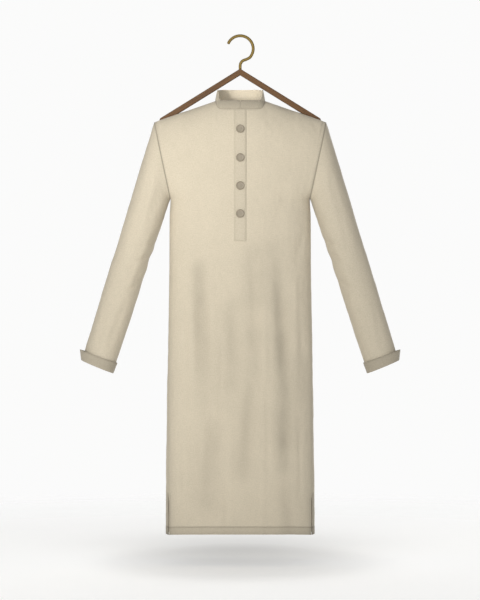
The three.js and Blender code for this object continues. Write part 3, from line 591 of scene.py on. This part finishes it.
def trough_depth(folds, x, z, end=FOLD_END):
    """Depth of a table's troughs at x and z. One that reaches the hem doesn't fade there."""
    total = 0.0
    for top_x, top_z, low_x, low_z, width, depth in folds:
        middle = lerp(top_x, low_x, np.clip((top_z - z) / (top_z - low_z), 0, 1))
        low = 1 if low_z <= HEM_Z else smooth(z, low_z, low_z + end)
        total = total + depth * ridge(x - middle, width) * low * (1 - smooth(z, top_z - end, top_z))
    return total


def body(side, share, rise):
    """Points of the front or back, for every rise (rows) and share of the width (columns)."""
    share, rise = np.broadcast_arrays(share, rise)
    shoulder_x = share * SHOULDER_X
    cap = cap_z(shoulder_x)
    z = lerp(HEM_Z + HEM_LIFT * oval(share), cap, rise)
    z = z + (top_edge_z(side, shoulder_x) - cap) * rise**TOP_EDGE_BLEND
    front, back = front_at_z(z), back_at_z(z)
    # below the underarm: round the oval section, from centre front or back to the side seam
    parting = VENT_PARTING / 2 * (1 - smooth(z, VENT_TOP_Z - VENT_RUN, VENT_TOP_Z))
    seam_y = np.maximum(0, seam_at(z) - side * parting)
    seam_turn = np.arccos((seam_y / front) ** (ROUNDNESS / 2))
    turn = np.arcsin(np.minimum(1, np.abs(share) ** (ROUNDNESS / 2))) / (pi / 2)
    angle = turn * seam_turn if side < 0 else pi - turn * (pi - seam_turn)
    ahead = np.abs(np.cos(angle))
    low_x = np.sign(share) * half_width_at(z) * np.sin(angle) ** (2 / ROUNDNESS)
    fold = trough_depth(FOLDS[side], low_x, z) * smooth(ahead, *SIDE_FADE)
    depth = np.where(np.cos(angle) > 0, front, back) * ahead ** (2 / ROUNDNESS)
    low_y = np.sign(np.cos(angle)) * (fold * smooth(1 - turn, *SEAM_FADE) - depth)
    # above it: between the armholes, rounding over to the shoulder seam and the neckline
    edge_x = armhole_x(z)
    high_x = share * edge_x
    reach = (SHOULDER_Z - UNDERARM_Z) / 2
    below = np.maximum(0, ((SHOULDER_Z + UNDERARM_Z) / 2 - z) / reach)
    full = front if side < 0 else back
    oval_width = edge_x / oval(ARMHOLE_Y * oval(below) / full)
    wide = full * oval(high_x / oval_width) - trough_depth(FOLDS[side], high_x, z)
    curl = rounding(soft_drop(side, shoulder_x, z), reach)
    high_y = side * lerp(top_depth(side, shoulder_x, z), wide, curl)
    is_low = z < UNDERARM_Z
    return np.stack([np.where(is_low, low_x, high_x), np.where(is_low, low_y, high_y), z], axis=-1)


def body_columns():
    """Shares of the width from -1 to 1, closer at the armholes and round the neck."""
    even = np.sin(np.linspace(0, pi / 2, HALF_COLUMNS)) ** (2 / ROUNDNESS)
    neck = np.array(NECK_COLUMNS) / SHOULDER_X
    half = np.sort(np.concatenate([even[1:], 1 - np.array(ARMHOLE_COLUMNS), neck]))
    half = half[np.concatenate([[True], np.diff(half) > NARROWEST_COLUMN])]
    half[-1] = 1.0
    return np.concatenate([-half[::-1], [0], half])


def body_rows():
    """Rises from 0 at the hem to 1 at the top edge, closer at the hem and in the armhole."""
    height = SHOULDER_Z - HEM_Z
    hem = np.concatenate([HEM_ROWS, HEM_TURN + np.array(HEM_LINE_ROWS)]) / height
    main = np.linspace(HEM_TURN + 10, UNDERARM_Z - HEM_Z, MAIN_ROWS, endpoint=False) / height
    turn = np.linspace(0, pi, ARMHOLE_ROWS + 1)
    upper = (lerp(UNDERARM_Z, SHOULDER_Z, (1 - np.cos(turn)) / 2) - HEM_Z) / height
    return np.concatenate([hem, main, upper])


columns, rises = body_columns(), body_rows()
FIRST_ARMHOLE_ROW = len(rises) - 1 - ARMHOLE_ROWS
skin = {side: body(side, columns[None, :], rises[:, None]) for side in (-1, 1)}


def shading(**parts):
    """The sum of what darkens the cloth, each part weighted by its name in DARK: painted shade and
    darker joints.
    """
    return np.clip(sum(DARK[name] * part for name, part in parts.items()), 0, 1)


def ditch(edge):
    """The groove of a seam, 1 deep at a short distance from the edge."""
    return edge / SEAM_DITCH * np.exp(1 - edge / SEAM_DITCH)


def panel_lift(side, u, x, z, edge, down, hem, vent, at_armhole):
    """How far, in mm, creases, rumples, seams and pressed lines lift the cloth off its skin."""
    rumple = 0.55 * waves(u, z, 3 + side, 46, 2.2) + 0.28 * waves(u, z, 9 + side, 17, 1.6)
    crease = trough_depth(FINE_FOLDS[side], x, z, FINE_FOLD_END)
    return (
        rumple * smooth(edge, 0, 14) * smooth(down, 2, 24) * smooth(hem, 2, 26)
        - crease * smooth(edge, 4, 40) * smooth(down, 4, 40)
        - ditch(edge) * (0.4 * at_armhole + 0.3 * (1 - at_armhole) * (1 - vent))
        - 0.5 * ridge(hem - HEM_TURN, HEM_LINE)
        - 0.35 * ridge(edge - VENT_STITCH, VENT_LINE) * vent
        + 0.3 * (1 - smooth(hem, HEM_TURN - 1, HEM_TURN))
    )


def panel_shade(side, u, x, z, edge, hem, vent, at_armhole):
    """How much darker the cloth is: painted shade in its troughs and creases, at its sides and behind
    the vents, and darker seams, pressed lines and hem.
    """
    dark = trough_depth(DARK_CREASES[side], x, z, DARK_CREASE_END) * smooth(edge, 4, 30)
    in_hem = 1 - smooth(hem, HEM_TURN - 1.5, HEM_TURN - 0.5)
    return shading(
        # painted shade: darker for each mm of a fold's depth
        trough=np.clip(trough_depth(FOLDS[side], x, z) * smooth(edge, 10, 60), 0, 10),
        # painted shade of the deeper folds, unevenly strong
        crease=dark * (1 + 0.25 * waves(u, z, 61 + side, 50, 1.6)),
        armhole=ridge(edge, 2.4, 4) * at_armhole,
        side_seam=ridge(edge, 2) * (1 - at_armhole),
        hem_line=ridge(hem - HEM_TURN, HEM_LINE),
        vent_line=ridge(edge - VENT_STITCH, VENT_LINE) * vent,
        # painted shade along the body's sides below the underarm
        body_side=ridge(edge, 15) * (z < UNDERARM_Z),
        hem=in_hem * (1 + 0.6 * (1 - smooth(hem, 0, 9))),
        # painted shadow on the back panel's strip seen behind the parted vents
        vent_back=vent * (1 - smooth(edge, 12, 26)) * (side > 0),
    )


def panel(side, name, material):
    """The shell of the front or back, and what its seams need: outer points, their normals,
    height over the hem and distance from the nearer side edge."""
    grid = skin[side]
    x, z = grid[..., 0], grid[..., 2]
    normal = normals_of(grid) * -side
    run = along(grid, 1)
    u = run - run[:, [len(columns) // 2]]
    edge = np.minimum(run, run[:, -1:] - run)
    down = along(grid[::-1])[::-1]
    hem = z - z[[0]]
    vent = 1 - smooth(z, VENT_TOP_Z - 4, VENT_TOP_Z + 2)
    at_armhole = (z > UNDERARM_Z - 1) * 1.0
    lift = panel_lift(side, u, x, z, edge, down, hem, vent, at_armhole)
    outer = grid + normal * lift[..., None]
    thick = CLOTH + 0.9 * (1 - smooth(hem, HEM_TURN - 1, HEM_TURN + 0.5))  # the turned hem is double
    inner = outer - normal * thick[..., None]
    shade = panel_shade(side, u, x, z, edge, hem, vent, at_armhole)
    piece = wall(name, outer, inner, False, pairs(u, z), shade, material, flip=side > 0)
    return piece, outer, normal, hem, edge


# ---- sleeve skin

sleeve_depth, sleeve_sag = curve(SLEEVE_SECTIONS, 1), curve(SLEEVE_SECTIONS, 2)


def on_line(x0, z0, x1, z1, t):
    return np.stack([lerp(x0, x1, t), lerp(z0, z1, t)], -1)


def sleeve(hand, t, turn, out=0.0):
    """Points of a sleeve; turn goes from the underside up the front to the top."""
    t, turn, out = np.broadcast_arrays(t, turn, out)
    outer, inner = on_line(*SLEEVE_OUTER, t), on_line(*SLEEVE_INNER, t**SLEEVE_TWIST)
    half, centre = (outer - inner) / 2, (outer + inner) / 2
    length = np.linalg.norm(half, axis=-1)
    crease = sum(depth * ridge(t - at, width) for at, width, depth in SLEEVE_CREASES)
    inner_side = smooth(np.cos(turn), 0, 1)
    depth = sleeve_depth(t) - crease * 0.5 * inner_side + out
    stretch = (length - crease * inner_side + out) / length
    point = centre - half * (np.cos(turn) * stretch)[..., None]
    y = -depth * np.sin(turn) - sleeve_sag(t)
    return np.stack([hand * point[..., 0], y, point[..., 1]], axis=-1)


def armhole_loop(hand):
    """The body's own points round an armhole, from the underarm up the front."""
    front, back = (skin[side][FIRST_ARMHOLE_ROW:, 0 if hand < 0 else -1] for side in (-1, 1))
    return np.concatenate([front, back[-2:0:-1]])


def wrapped(angle):
    """An angle brought between minus and plus half a turn."""
    return (angle + pi) % tau - pi


def sleeve_fold(t, turn, radius, fold):
    """Depth of one row of SLEEVE_FOLDS: a long trough, or a short one across the sleeve."""
    t0, a0, t1, a1, width, depth = fold
    if abs(t1 - t0) < SHORT_FOLD:
        low, high = np.radians(sorted((a0, a1)))
        outer, inner = radians(30), radians(20)  # how far its ends fade out and in
        span = smooth(turn, low - outer, low + inner) * (1 - smooth(turn, high - inner, high + outer))
        middle = lerp(t0, t1, smooth(turn, low, high))
        return depth * ridge((t - middle) * SLEEVE_LENGTH, width) * span
    middle = np.radians(lerp(a0, a1, np.clip((t - t0) / (t1 - t0), 0, 1)))
    ends = smooth(t, t0, t0 + 0.08) * (1 - smooth(t, t1 - 0.08, t1))
    return depth * ridge(wrapped(turn - middle) * radius, width) * ends


def sleeve_piece(hand, name, material):
    """The shell of a sleeve, which starts from the armhole's own points."""
    turn = turns(2 * ARMHOLE_ROWS)
    t = np.concatenate([SLEEVE_FIRST_ROWS, np.linspace(*SLEEVE_MAIN_ROWS), SLEEVE_LAST_ROWS])[:, None]
    loop = armhole_loop(hand)
    leave = (1 - smooth(t, 0, SLEEVE_EASE))[..., None]
    rings = sleeve(hand, t, turn) + leave * (loop - sleeve(hand, 0.0, turn))
    grid = np.concatenate([loop[None], rings])
    t = np.concatenate([[[0]], t])
    normal = normals_of(grid, closed=True) * -hand
    run = along(grid)
    mean = run.mean(axis=1, keepdims=True)
    radius = SLEEVE_RADIUS - SLEEVE_TAPER * t
    u = turn * radius
    lift = 0.5 * waves(u, mean, 21 + hand, 40, 2.0) + 0.25 * waves(u, mean, 31 + hand, 15, 1.5)
    lift = lift - sum(sleeve_fold(t, turn, radius, fold) for fold in SLEEVE_FOLDS)
    lift = lift * smooth(run, 2, 22) * (1 - smooth(t, 0.93, 0.99)) - 0.4 * ditch(run)
    tuck = smooth(t, CUFF_START - 0.02, CUFF_START)
    outer = grid + normal * (lift - 0.25 * tuck)[..., None]
    shade = shading(
        armhole=ridge(run, 2.4, 4),
        # painted shade along the sleeve's top side
        sleeve_side=ridge(turn - pi, 0.6),
        sleeve_seam=ridge(wrapped(turn) * radius, 1.2),
        # painted shadow on the sleeve just under the cuff's edge
        under_cuff=ridge((t - CUFF_START) * SLEEVE_LENGTH, 5),
    )
    x0, z0, x1, z1 = SLEEVE_OUTER
    uv = pairs(u, outer @ unit(np.array([hand * (x1 - x0), 0, z1 - z0])))
    return wall(name, outer, outer - normal * CLOTH, True, uv, shade, material, flip=hand > 0)


def cuff_piece(hand, name, material):
    """A turned-back band as a closed profile round the sleeve's end, flared on its outer side."""
    turn = turns(CUFF_SIDES)
    flare = lerp(CUFF_LIFT, CUFF_FLARE, np.maximum(0, -np.cos(turn)) ** 2)
    wave = 0.5 * waves(turn * 40, 0 * turn, 77 + hand, 60)
    rings, shades = [], []
    for t, part in CUFF_PROFILE:
        opened = (1 - t) / (1 - CUFF_START)
        out = TRIM_GAP + opened * (flare + 0.8 * wave) + CUFF_CLOTH * part
        rings.append(sleeve(hand, t, turn, out))
        top_line = ridge((t - CUFF_START - 0.0045) * SLEEVE_LENGTH, 0.9) * (part > 0.5)
        shades.append(np.full(CUFF_SIDES, shading(cuff_line=top_line)))
    # columns run round the profile, rows round the sleeve
    rings = np.array(rings).transpose(1, 0, 2)
    uv = pairs(turn[:, None] * CUFF_RADIUS, along(rings, 1))
    count = len(CUFF_PROFILE)
    faces = quads(CUFF_SIDES + 1, count, True, flip=hand < 0)
    faces = [[corner % (CUFF_SIDES * count) for corner in face] for face in faces]
    return new_object(name, rings, faces, material, uv, np.transpose(shades), 60)


# ---- collar, placket, buttons


def collar_stations():
    """The neckline from one side of centre front round the back to the other, and its way out."""
    share = np.sin(np.linspace(0, pi / 2, 34)) * NECK_X / SHOULDER_X
    right = np.concatenate([body(-1, share, 1.0), body(1, share, 1.0)[::-1][1:]])
    loop = np.concatenate([right, right[::-1][1:] * [-1, 1, 1]])
    way = np.gradient(loop[:, :2], axis=0)
    way[[0, -1]] = [1, 0]
    return loop, unit(way[:, ::-1] * [1, -1])


def collar_piece(materials):
    """The stand collar. materials are of its front band, its inside, made lighter as painted light,
    and its outside.
    """
    base, away = collar_stations()
    backward = base[:, 1] / NECK_Y
    sideways = np.minimum(np.abs(base[:, 0]) / NECK_X, 1)
    front_top = NECK_SIDE_Z - NECK_FRONT_DROP + COLLAR_FRONT_HEIGHT
    dip = np.where(backward < 0, 1 - sideways**COLLAR_SQUARENESS, 0)
    top = lerp(COLLAR_TOP_Z, front_top, dip) + COLLAR_BACK_RISE * smooth(backward, 0.2, 0.9)
    run = along(base)
    ripple = 0.35 * waves(run, 0 * run, 5, 70)
    rings, shades = [], []
    for share, part in COLLAR_PROFILE:
        puff = 0.45 * np.sin(pi * share) + ripple * share
        out = (part - 1) * COLLAR_CLOTH + puff * (0.3 if share < 0.05 else 1)
        narrow = lerp(1, np.array([COLLAR_TOP_X / NECK_X, COLLAR_TOP_Y / NECK_Y]), share)
        x, y = (base[:, :2] * narrow + away * out[:, None]).T
        rings.append(np.stack([x, y, lerp(base[:, 2] + 0.3, top, share)], -1))
        line = max(ridge(share - 0.9, 0.03), ridge(share - 0.08, 0.03))
        foot = ridge(share, 0.05)
        # painted shade: the front band grows darker towards its top
        shade = shading(collar_front=share * dip, collar_line=line, collar_foot=foot)
        shades.append(part * shade)
    rings = np.array(rings).transpose(1, 0, 2)
    for row, sign in ((0, 1), (-1, -1)):
        rings[row, :, 0] = sign * COLLAR_OPENING / 2
    count = len(COLLAR_PROFILE)
    uv, faces = pairs(run[:, None], along(rings, 1)), capped(len(base), count)
    piece = new_object("collar_shell", rings, faces, materials, uv, np.transpose(shades))
    for index, polygon in enumerate(piece.data.polygons):
        if index < (len(base) - 1) * count and index % count >= COLLAR_INSIDE:
            polygon.material_index = 1
        elif polygon.center.z > (front_top + 1.0) * METRES:
            polygon.material_index = 2
    return piece, rings, away


def front_at(x, z):
    """The front's point and normal at given x and height, between the points of its skin."""
    x, z = np.broadcast_arrays(x, z)
    known = np.concatenate([skin[-1], normals_of(skin[-1])], axis=2)
    found = np.zeros(x.shape + (6,))
    for column in np.unique(x):
        line = np.array([between(column, row[:, 0], row) for row in known])
        found[x == column] = between(z[x == column], line[:, 2], line)
    return found[..., :3], unit(found[..., 3:])


def placket_piece(material):
    """The strip over the slash, which follows the front and puffs a little between buttons."""
    start, end = PLACKET_END_Z, top_edge_z(-1, 0.0) - 0.8
    rows = np.linspace(start + 6, end - 1, PLACKET_ROWS)
    heights = np.concatenate([start + np.array(PLACKET_EDGE_ROWS), rows, [end]])
    half = PLACKET_X * np.array(PLACKET_COLUMNS)
    x, z = np.meshgrid(np.concatenate([-half[:0:-1], half]), heights)
    point, normal = front_at(x, z)
    edge = np.minimum(PLACKET_X - np.abs(x), z - start)
    near = sum(ridge(z - height, 14) for height in BUTTON_HEIGHTS)
    line = ridge(edge - TRIM_STITCH, TRIM_LINE)
    lift = TRIM_GAP + TRIM_CLOTH * np.sqrt(smooth(edge, -0.05, 1.6)) - 0.25 * line
    lift = lift + 0.35 * (1 - near) * smooth(edge, 2, 9) * (0.6 + 0.4 * waves(x, z, 51, 60))
    top = point + normal * lift[..., None]
    under = point + normal * (TRIM_GAP * 0.6)
    shade = shading(placket_line=line, placket_edge=ridge(edge, 0.5))
    return wall("placket_shell", top, under, False, pairs(x, z), shade, material)


def button_piece(number, z, material):
    """A turned button: rounded rim, shallow dish and a slightly domed middle, held a little off the
    placket.
    """
    point, normal = front_at(0.0, z)
    turn = Vector((0, 0, 1)).rotation_difference(Vector(normal)).to_matrix()
    share, height = np.array(BUTTON_PROFILE).T[:, :, None]
    radius, a = BUTTON_RADIUS * share, turns(BUTTON_SIDES)
    out = BUTTON_THICKNESS * height + TRIM_GAP + TRIM_CLOTH + BUTTON_GAP
    local = [radius * np.cos(a), radius * np.sin(a), out + 0 * a]
    rings = np.stack(local, -1) @ np.array(turn).T + point
    rows = len(BUTTON_PROFILE) - 2
    count = rows * BUTTON_SIDES
    points = np.concatenate([rings[1:-1].reshape(-1, 3), rings[[0, -1], 0]])
    faces = quads(rows, BUTTON_SIDES, True) + fan(0, BUTTON_SIDES, count, flip=True)
    faces += fan(count - BUTTON_SIDES, BUTTON_SIDES, count + 1)
    return new_object(f"button_{number}_turned", points, faces, material, sharp=60)


# ---- hook


def centripetal(points, steps):
    """A smooth curve through the points (centripetal Catmull-Rom)."""

    def blend(a, b, low, high, t):
        return (a * (high - t) + b * (t - low)) / (high - low)

    ends = [2 * points[0] - points[1], *points, 2 * points[-1] - points[-2]]
    out = []
    for i in range(1, len(ends) - 2):
        p = ends[i - 1 : i + 3]
        gaps = [max(np.linalg.norm(b - a), 1e-6) ** 0.5 for a, b in zip(p, p[1:])]
        k = np.concatenate([[0], np.cumsum(gaps)])
        for s in range(steps):
            t = lerp(k[1], k[2], s / steps)
            a = [blend(p[j], p[j + 1], k[j], k[j + 1], t) for j in range(3)]
            b = [blend(a[j], a[j + 1], k[j], k[j + 2], t) for j in range(2)]
            out.append(blend(b[0], b[1], k[1], k[2], t))
    out.append(points[-1])
    return np.array(out)


def hook_path():
    """The middle of the wire: the arc, the bend back to the middle, and the stem into the wood."""
    arc = np.radians([*range(HOOK_FROM, HOOK_TO, -HOOK_STEP), HOOK_TO])
    centre_z = WIRE_RADIUS - HOOK_RADIUS
    points = [(HOOK_RADIUS * np.cos(a), 0, centre_z + HOOK_RADIUS * np.sin(a)) for a in arc]
    end_x, _, end_z = points[-1]
    points += [(end_x * share, 0, end_z - drop) for share, drop in HOOK_BEND]
    stem = [STEM_TOP_Z - 3, ARM_TOP_Z, ARM_TOP_Z - STEM_DEPTH + 0.4]
    points += [(end_x * 0.04, 0, STEM_TOP_Z + 2), *((0, 0, z) for z in stem)]
    return centripetal([np.array(p, float) for p in points], 10)


def hook_piece(material):
    """The round wire with a rounded tip."""
    path = hook_path()
    way = unit(np.gradient(path, axis=0))
    side = way[:, [2, 1, 0]] * [-1, 0, 1]
    a, run = turns(WIRE_SIDES)[:, None], along(path)
    radius = WIRE_RADIUS * WIRE_SWELL * np.maximum(rounding(run, TIP_ROUNDING), TIP_FLAT)
    ring = np.cos(a) * side[:, None] + np.sin(a) * np.array([0, 1, 0])
    rings = path[:, None] + ring * radius[:, None, None]
    uv = pairs(a.T * WIRE_RADIUS, run[:, None])
    faces, shade = capped(len(path), WIRE_SIDES), np.zeros(rings.shape[:2])
    return new_object("hook_wire", rings, faces, material, uv, shade)


# ---- camera, lights and floor


def make_camera():
    """A long lens straight in front of the kurta, level with its middle."""
    camera = bpy.data.cameras.new("camera")
    camera.lens, camera.sensor_width = 150, 36
    camera.clip_start, camera.clip_end = 0.1, 100
    obj = link("camera", camera)
    obj.location = (-0.0005, -6.25, -0.6571)
    obj.rotation_euler = (radians(90), 0, 0)
    bpy.context.scene.camera = obj


LIGHTS = [  # name, place, target, width and height, power, spread in degrees
    ("strip", (-1.3, -2.1, -0.5), (-0.19, 0, -0.45), (0.6, 1.6), 1.76, 32),
    ("chest", (-0.9, -2.2, -0.45), (-0.08, 0, -0.27), (0.3, 0.3), 0.33, 24),
    ("skirt", (-0.3, -2.3, -0.9), (-0.02, 0, -0.95), (0.3, 0.5), 0.15, 24),
    ("behind", (1.3, 2.1, -0.5), (0.15, 0, -0.45), (0.6, 1.6), 1.66, 36),
]
WORLD_FACING, WORLD_BASE = 1.36, 0.237  # the room's light in front and behind, and all round


def area_light(name, place, target, size, power, spread):
    """A softbox of the given width and height, whose grid keeps its light within the spread."""
    light = bpy.data.lights.new(name, "AREA")
    light.shape = "RECTANGLE"
    light.size, light.size_y = size
    light.energy, light.spread, light.color = power, radians(spread), (1.0, 0.985, 0.96)
    obj = link(name, light)
    obj.location = place
    obj.rotation_euler = (Vector(target) - Vector(place)).to_track_quat("-Z", "Y").to_euler()


def make_studio():
    """A pale room, brightest in front and behind, seen as plain white, and the softboxes."""
    world = bpy.data.worlds.new("studio")
    bpy.context.scene.world = world
    n = Nodes(world)
    facing = n.split(n.add("TexCoord"))[1]
    light = n.tree.nodes["Background"]
    light.inputs["Color"].default_value = (1, 1, 0.997, 1)
    facing = n.math("MULTIPLY", facing, facing)
    n.put(light.inputs["Strength"], n.fit(facing, WORLD_FACING, WORLD_BASE))
    seen = n.add("Background", (0.965, 0.965, 0.962, 1))
    mix = n.add("MixShader", n.add("LightPath"), light.outputs[0], seen)
    n.put(n.tree.nodes["World Output"].inputs[0], mix)
    for row in LIGHTS:
        area_light(*row)
    bpy.context.scene.view_settings.view_transform = "Standard"


def floor_material():
    """Pale and matt, with painted shadows softly darker under the kurta, and fading out at its rim.
    """
    n = new_material("floor")
    where = n.where()
    away = n.vector("LENGTH", where, _out=1)
    n.put(n.shader.inputs["Alpha"], n.add("MapRange", away, *FLOOR_FADE, 1.0, 0.0))
    light = n.fit(n.noise(where, 3, 2.0), 0.02, 0.99)
    for middle, size, power, depth in FLOOR_PATCHES:
        moved = n.vector("DIVIDE", n.vector("SUBTRACT", where, (0, middle, 0)), size)
        fall = n.math("POWER", n.vector("LENGTH", moved, _out=1), power)
        patch = n.math("POWER", np.e, n.math("MULTIPLY", fall, -1.0))
        light = n.fit(patch, -depth, light)
    n.put(n.shader.inputs["Emission Strength"], n.math("MULTIPLY", light, 0.375))
    fixed = {"Specular_IOR_Level": 0.1, "Emission_Color": (1, 1, 0.99, 1)}
    return n.finish(n.scaled((0.93, 0.93, 0.925), light), 0.95, None, **fixed)


def make_floor():
    """A round disc under the kurta."""
    a, radius = turns(FLOOR_SIDES), np.linspace(0, FLOOR_RADIUS, FLOOR_RINGS + 1)[1:, None]
    rings = np.stack([radius * np.cos(a), radius * np.sin(a), 0 * radius * a], -1)
    points = np.concatenate([[[0, 0, 0]], rings.reshape(-1, 3)])
    faces = fan(1, FLOOR_SIDES, 0) + quads(FLOOR_RINGS, FLOOR_SIDES, True, 1, flip=True)
    floor = new_object("floor", points, faces, floor_material())
    floor.location.z = FLOOR_Z * METRES


# ---- putting it together


def placed(piece, node):
    """A piece on the one body, in the place of a CAD node where one is named."""
    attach(piece, "root")
    if node:
        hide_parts(node)
    return piece


def inset_line(outer, normal, edge, rows, distance, right):
    """Points at a given distance from one side edge, on the given rows."""
    half = outer.shape[1] // 2
    part = slice(half, None) if right else slice(0, half + 1)
    found = []
    for i in rows:
        order = np.argsort(edge[i, part])
        known = np.concatenate([outer[i, part], normal[i, part]], 1)[order]
        found.append(between(distance, edge[i, part][order], known))
    found = np.array(found)
    return found[:, :3], found[:, 3:]


def panel_seams(outer, normal, hem, edge):
    """The lines of stitches of a panel: the hem, then vent and armhole on either side."""
    hem_row = int(np.argmin(np.abs(hem[:, outer.shape[1] // 2] - HEM_TURN)))
    keep = edge[hem_row] > VENT_STITCH + 0.5
    lines = [(outer[hem_row][keep], normal[hem_row][keep])]
    vent_rows = [i for i in range(hem_row, len(rises)) if outer[i, 0, 2] < VENT_TOP_Z + 4]
    arm_rows = range(FIRST_ARMHOLE_ROW + 3, len(rises) - 3)
    for right in (False, True):
        lines.append(inset_line(outer, normal, edge, vent_rows, VENT_STITCH, right))
        lines.append(inset_line(outer, normal, edge, arm_rows, ARMHOLE_STITCH, right))
    return lines


def placket_seams():
    """The lines of stitches of the placket: along both edges, then across its end twice."""
    side, end = PLACKET_X - TRIM_STITCH, PLACKET_END_Z + TRIM_STITCH
    up_edge = np.linspace(end, top_edge_z(-1, 0.0) - 3, 90)
    across = np.linspace(-side, side, 12)
    routes = [(x, up_edge, 0) for x in (-side, side)]
    routes += [(across, z, 0.2) for z in (end, PLACKET_END_Z + PLACKET_BAR)]
    lines = []
    for x, z, proud in routes:
        point, up = front_at(x, z)
        lines.append((point + up * (TRIM_GAP + TRIM_CLOTH + proud), up))
    return lines


make_camera()
make_studio()
make_floor()

cloth = cloth_material("cloth")
placket_cloth = cloth_material("placket_cloth", 0.935)
cuff_cloth = cloth_material("cuff_cloth", 0.72)
collar_cloth = cloth_material("collar_cloth", 0.76)
collar_stand = cloth_material("collar_stand", 1.0)
# painted light: the collar's inside is 1.6 times as light as the cloth, to lift the shade inside the
# collar
collar_lining = cloth_material("collar_inside", 1.6)
thread = thread_material("thread", (0.36, 0.32, 0.25))
pale_thread = thread_material("pale_thread", (0.46, 0.41, 0.32))

for side, node, cut in ((-1, "front", 0.422), (1, "back", 0.48)):
    piece, *seams = panel(side, f"{node}_panel", cloth)
    placed(piece, node)
    sewing = placed(stitches(f"{node}_stitches", panel_seams(*seams), thread), None)

for hand, word in ((-1, "left"), (1, "right")):
    piece = placed(sleeve_piece(hand, f"sleeve_{word}_tube", cloth), f"sleeve_{word}")
    band = placed(cuff_piece(hand, f"cuff_{word}_band", cuff_cloth), f"cuff_{word}")

collar, rings, away = collar_piece([collar_cloth, collar_lining, collar_stand])
placed(collar, "collar")
outward = np.pad(away, ((0, 0), (0, 1)))
lines = [(rings[2:-2, k], outward[2:-2]) for k in COLLAR_SEAMS]
sewing = placed(stitches("collar_stitches", lines, thread, 2.0, 3.0, 0.25), None)

placket = placed(placket_piece(placket_cloth), "placket")
sewing = stitches("placket_stitches", placket_seams(), pale_thread, 2.2, 3.2, 0.26)
placed(sewing, None)

button = button_material()
for number, z in enumerate(BUTTON_HEIGHTS, 1):
    placed(button_piece(number, z, button), f"button_{number}")

placed(hook_piece(brass_material()), "hanger_hook")
wood = wood_material()
for slot in bpy.data.objects["hanger_arms"].material_slots:
    slot.material = wood
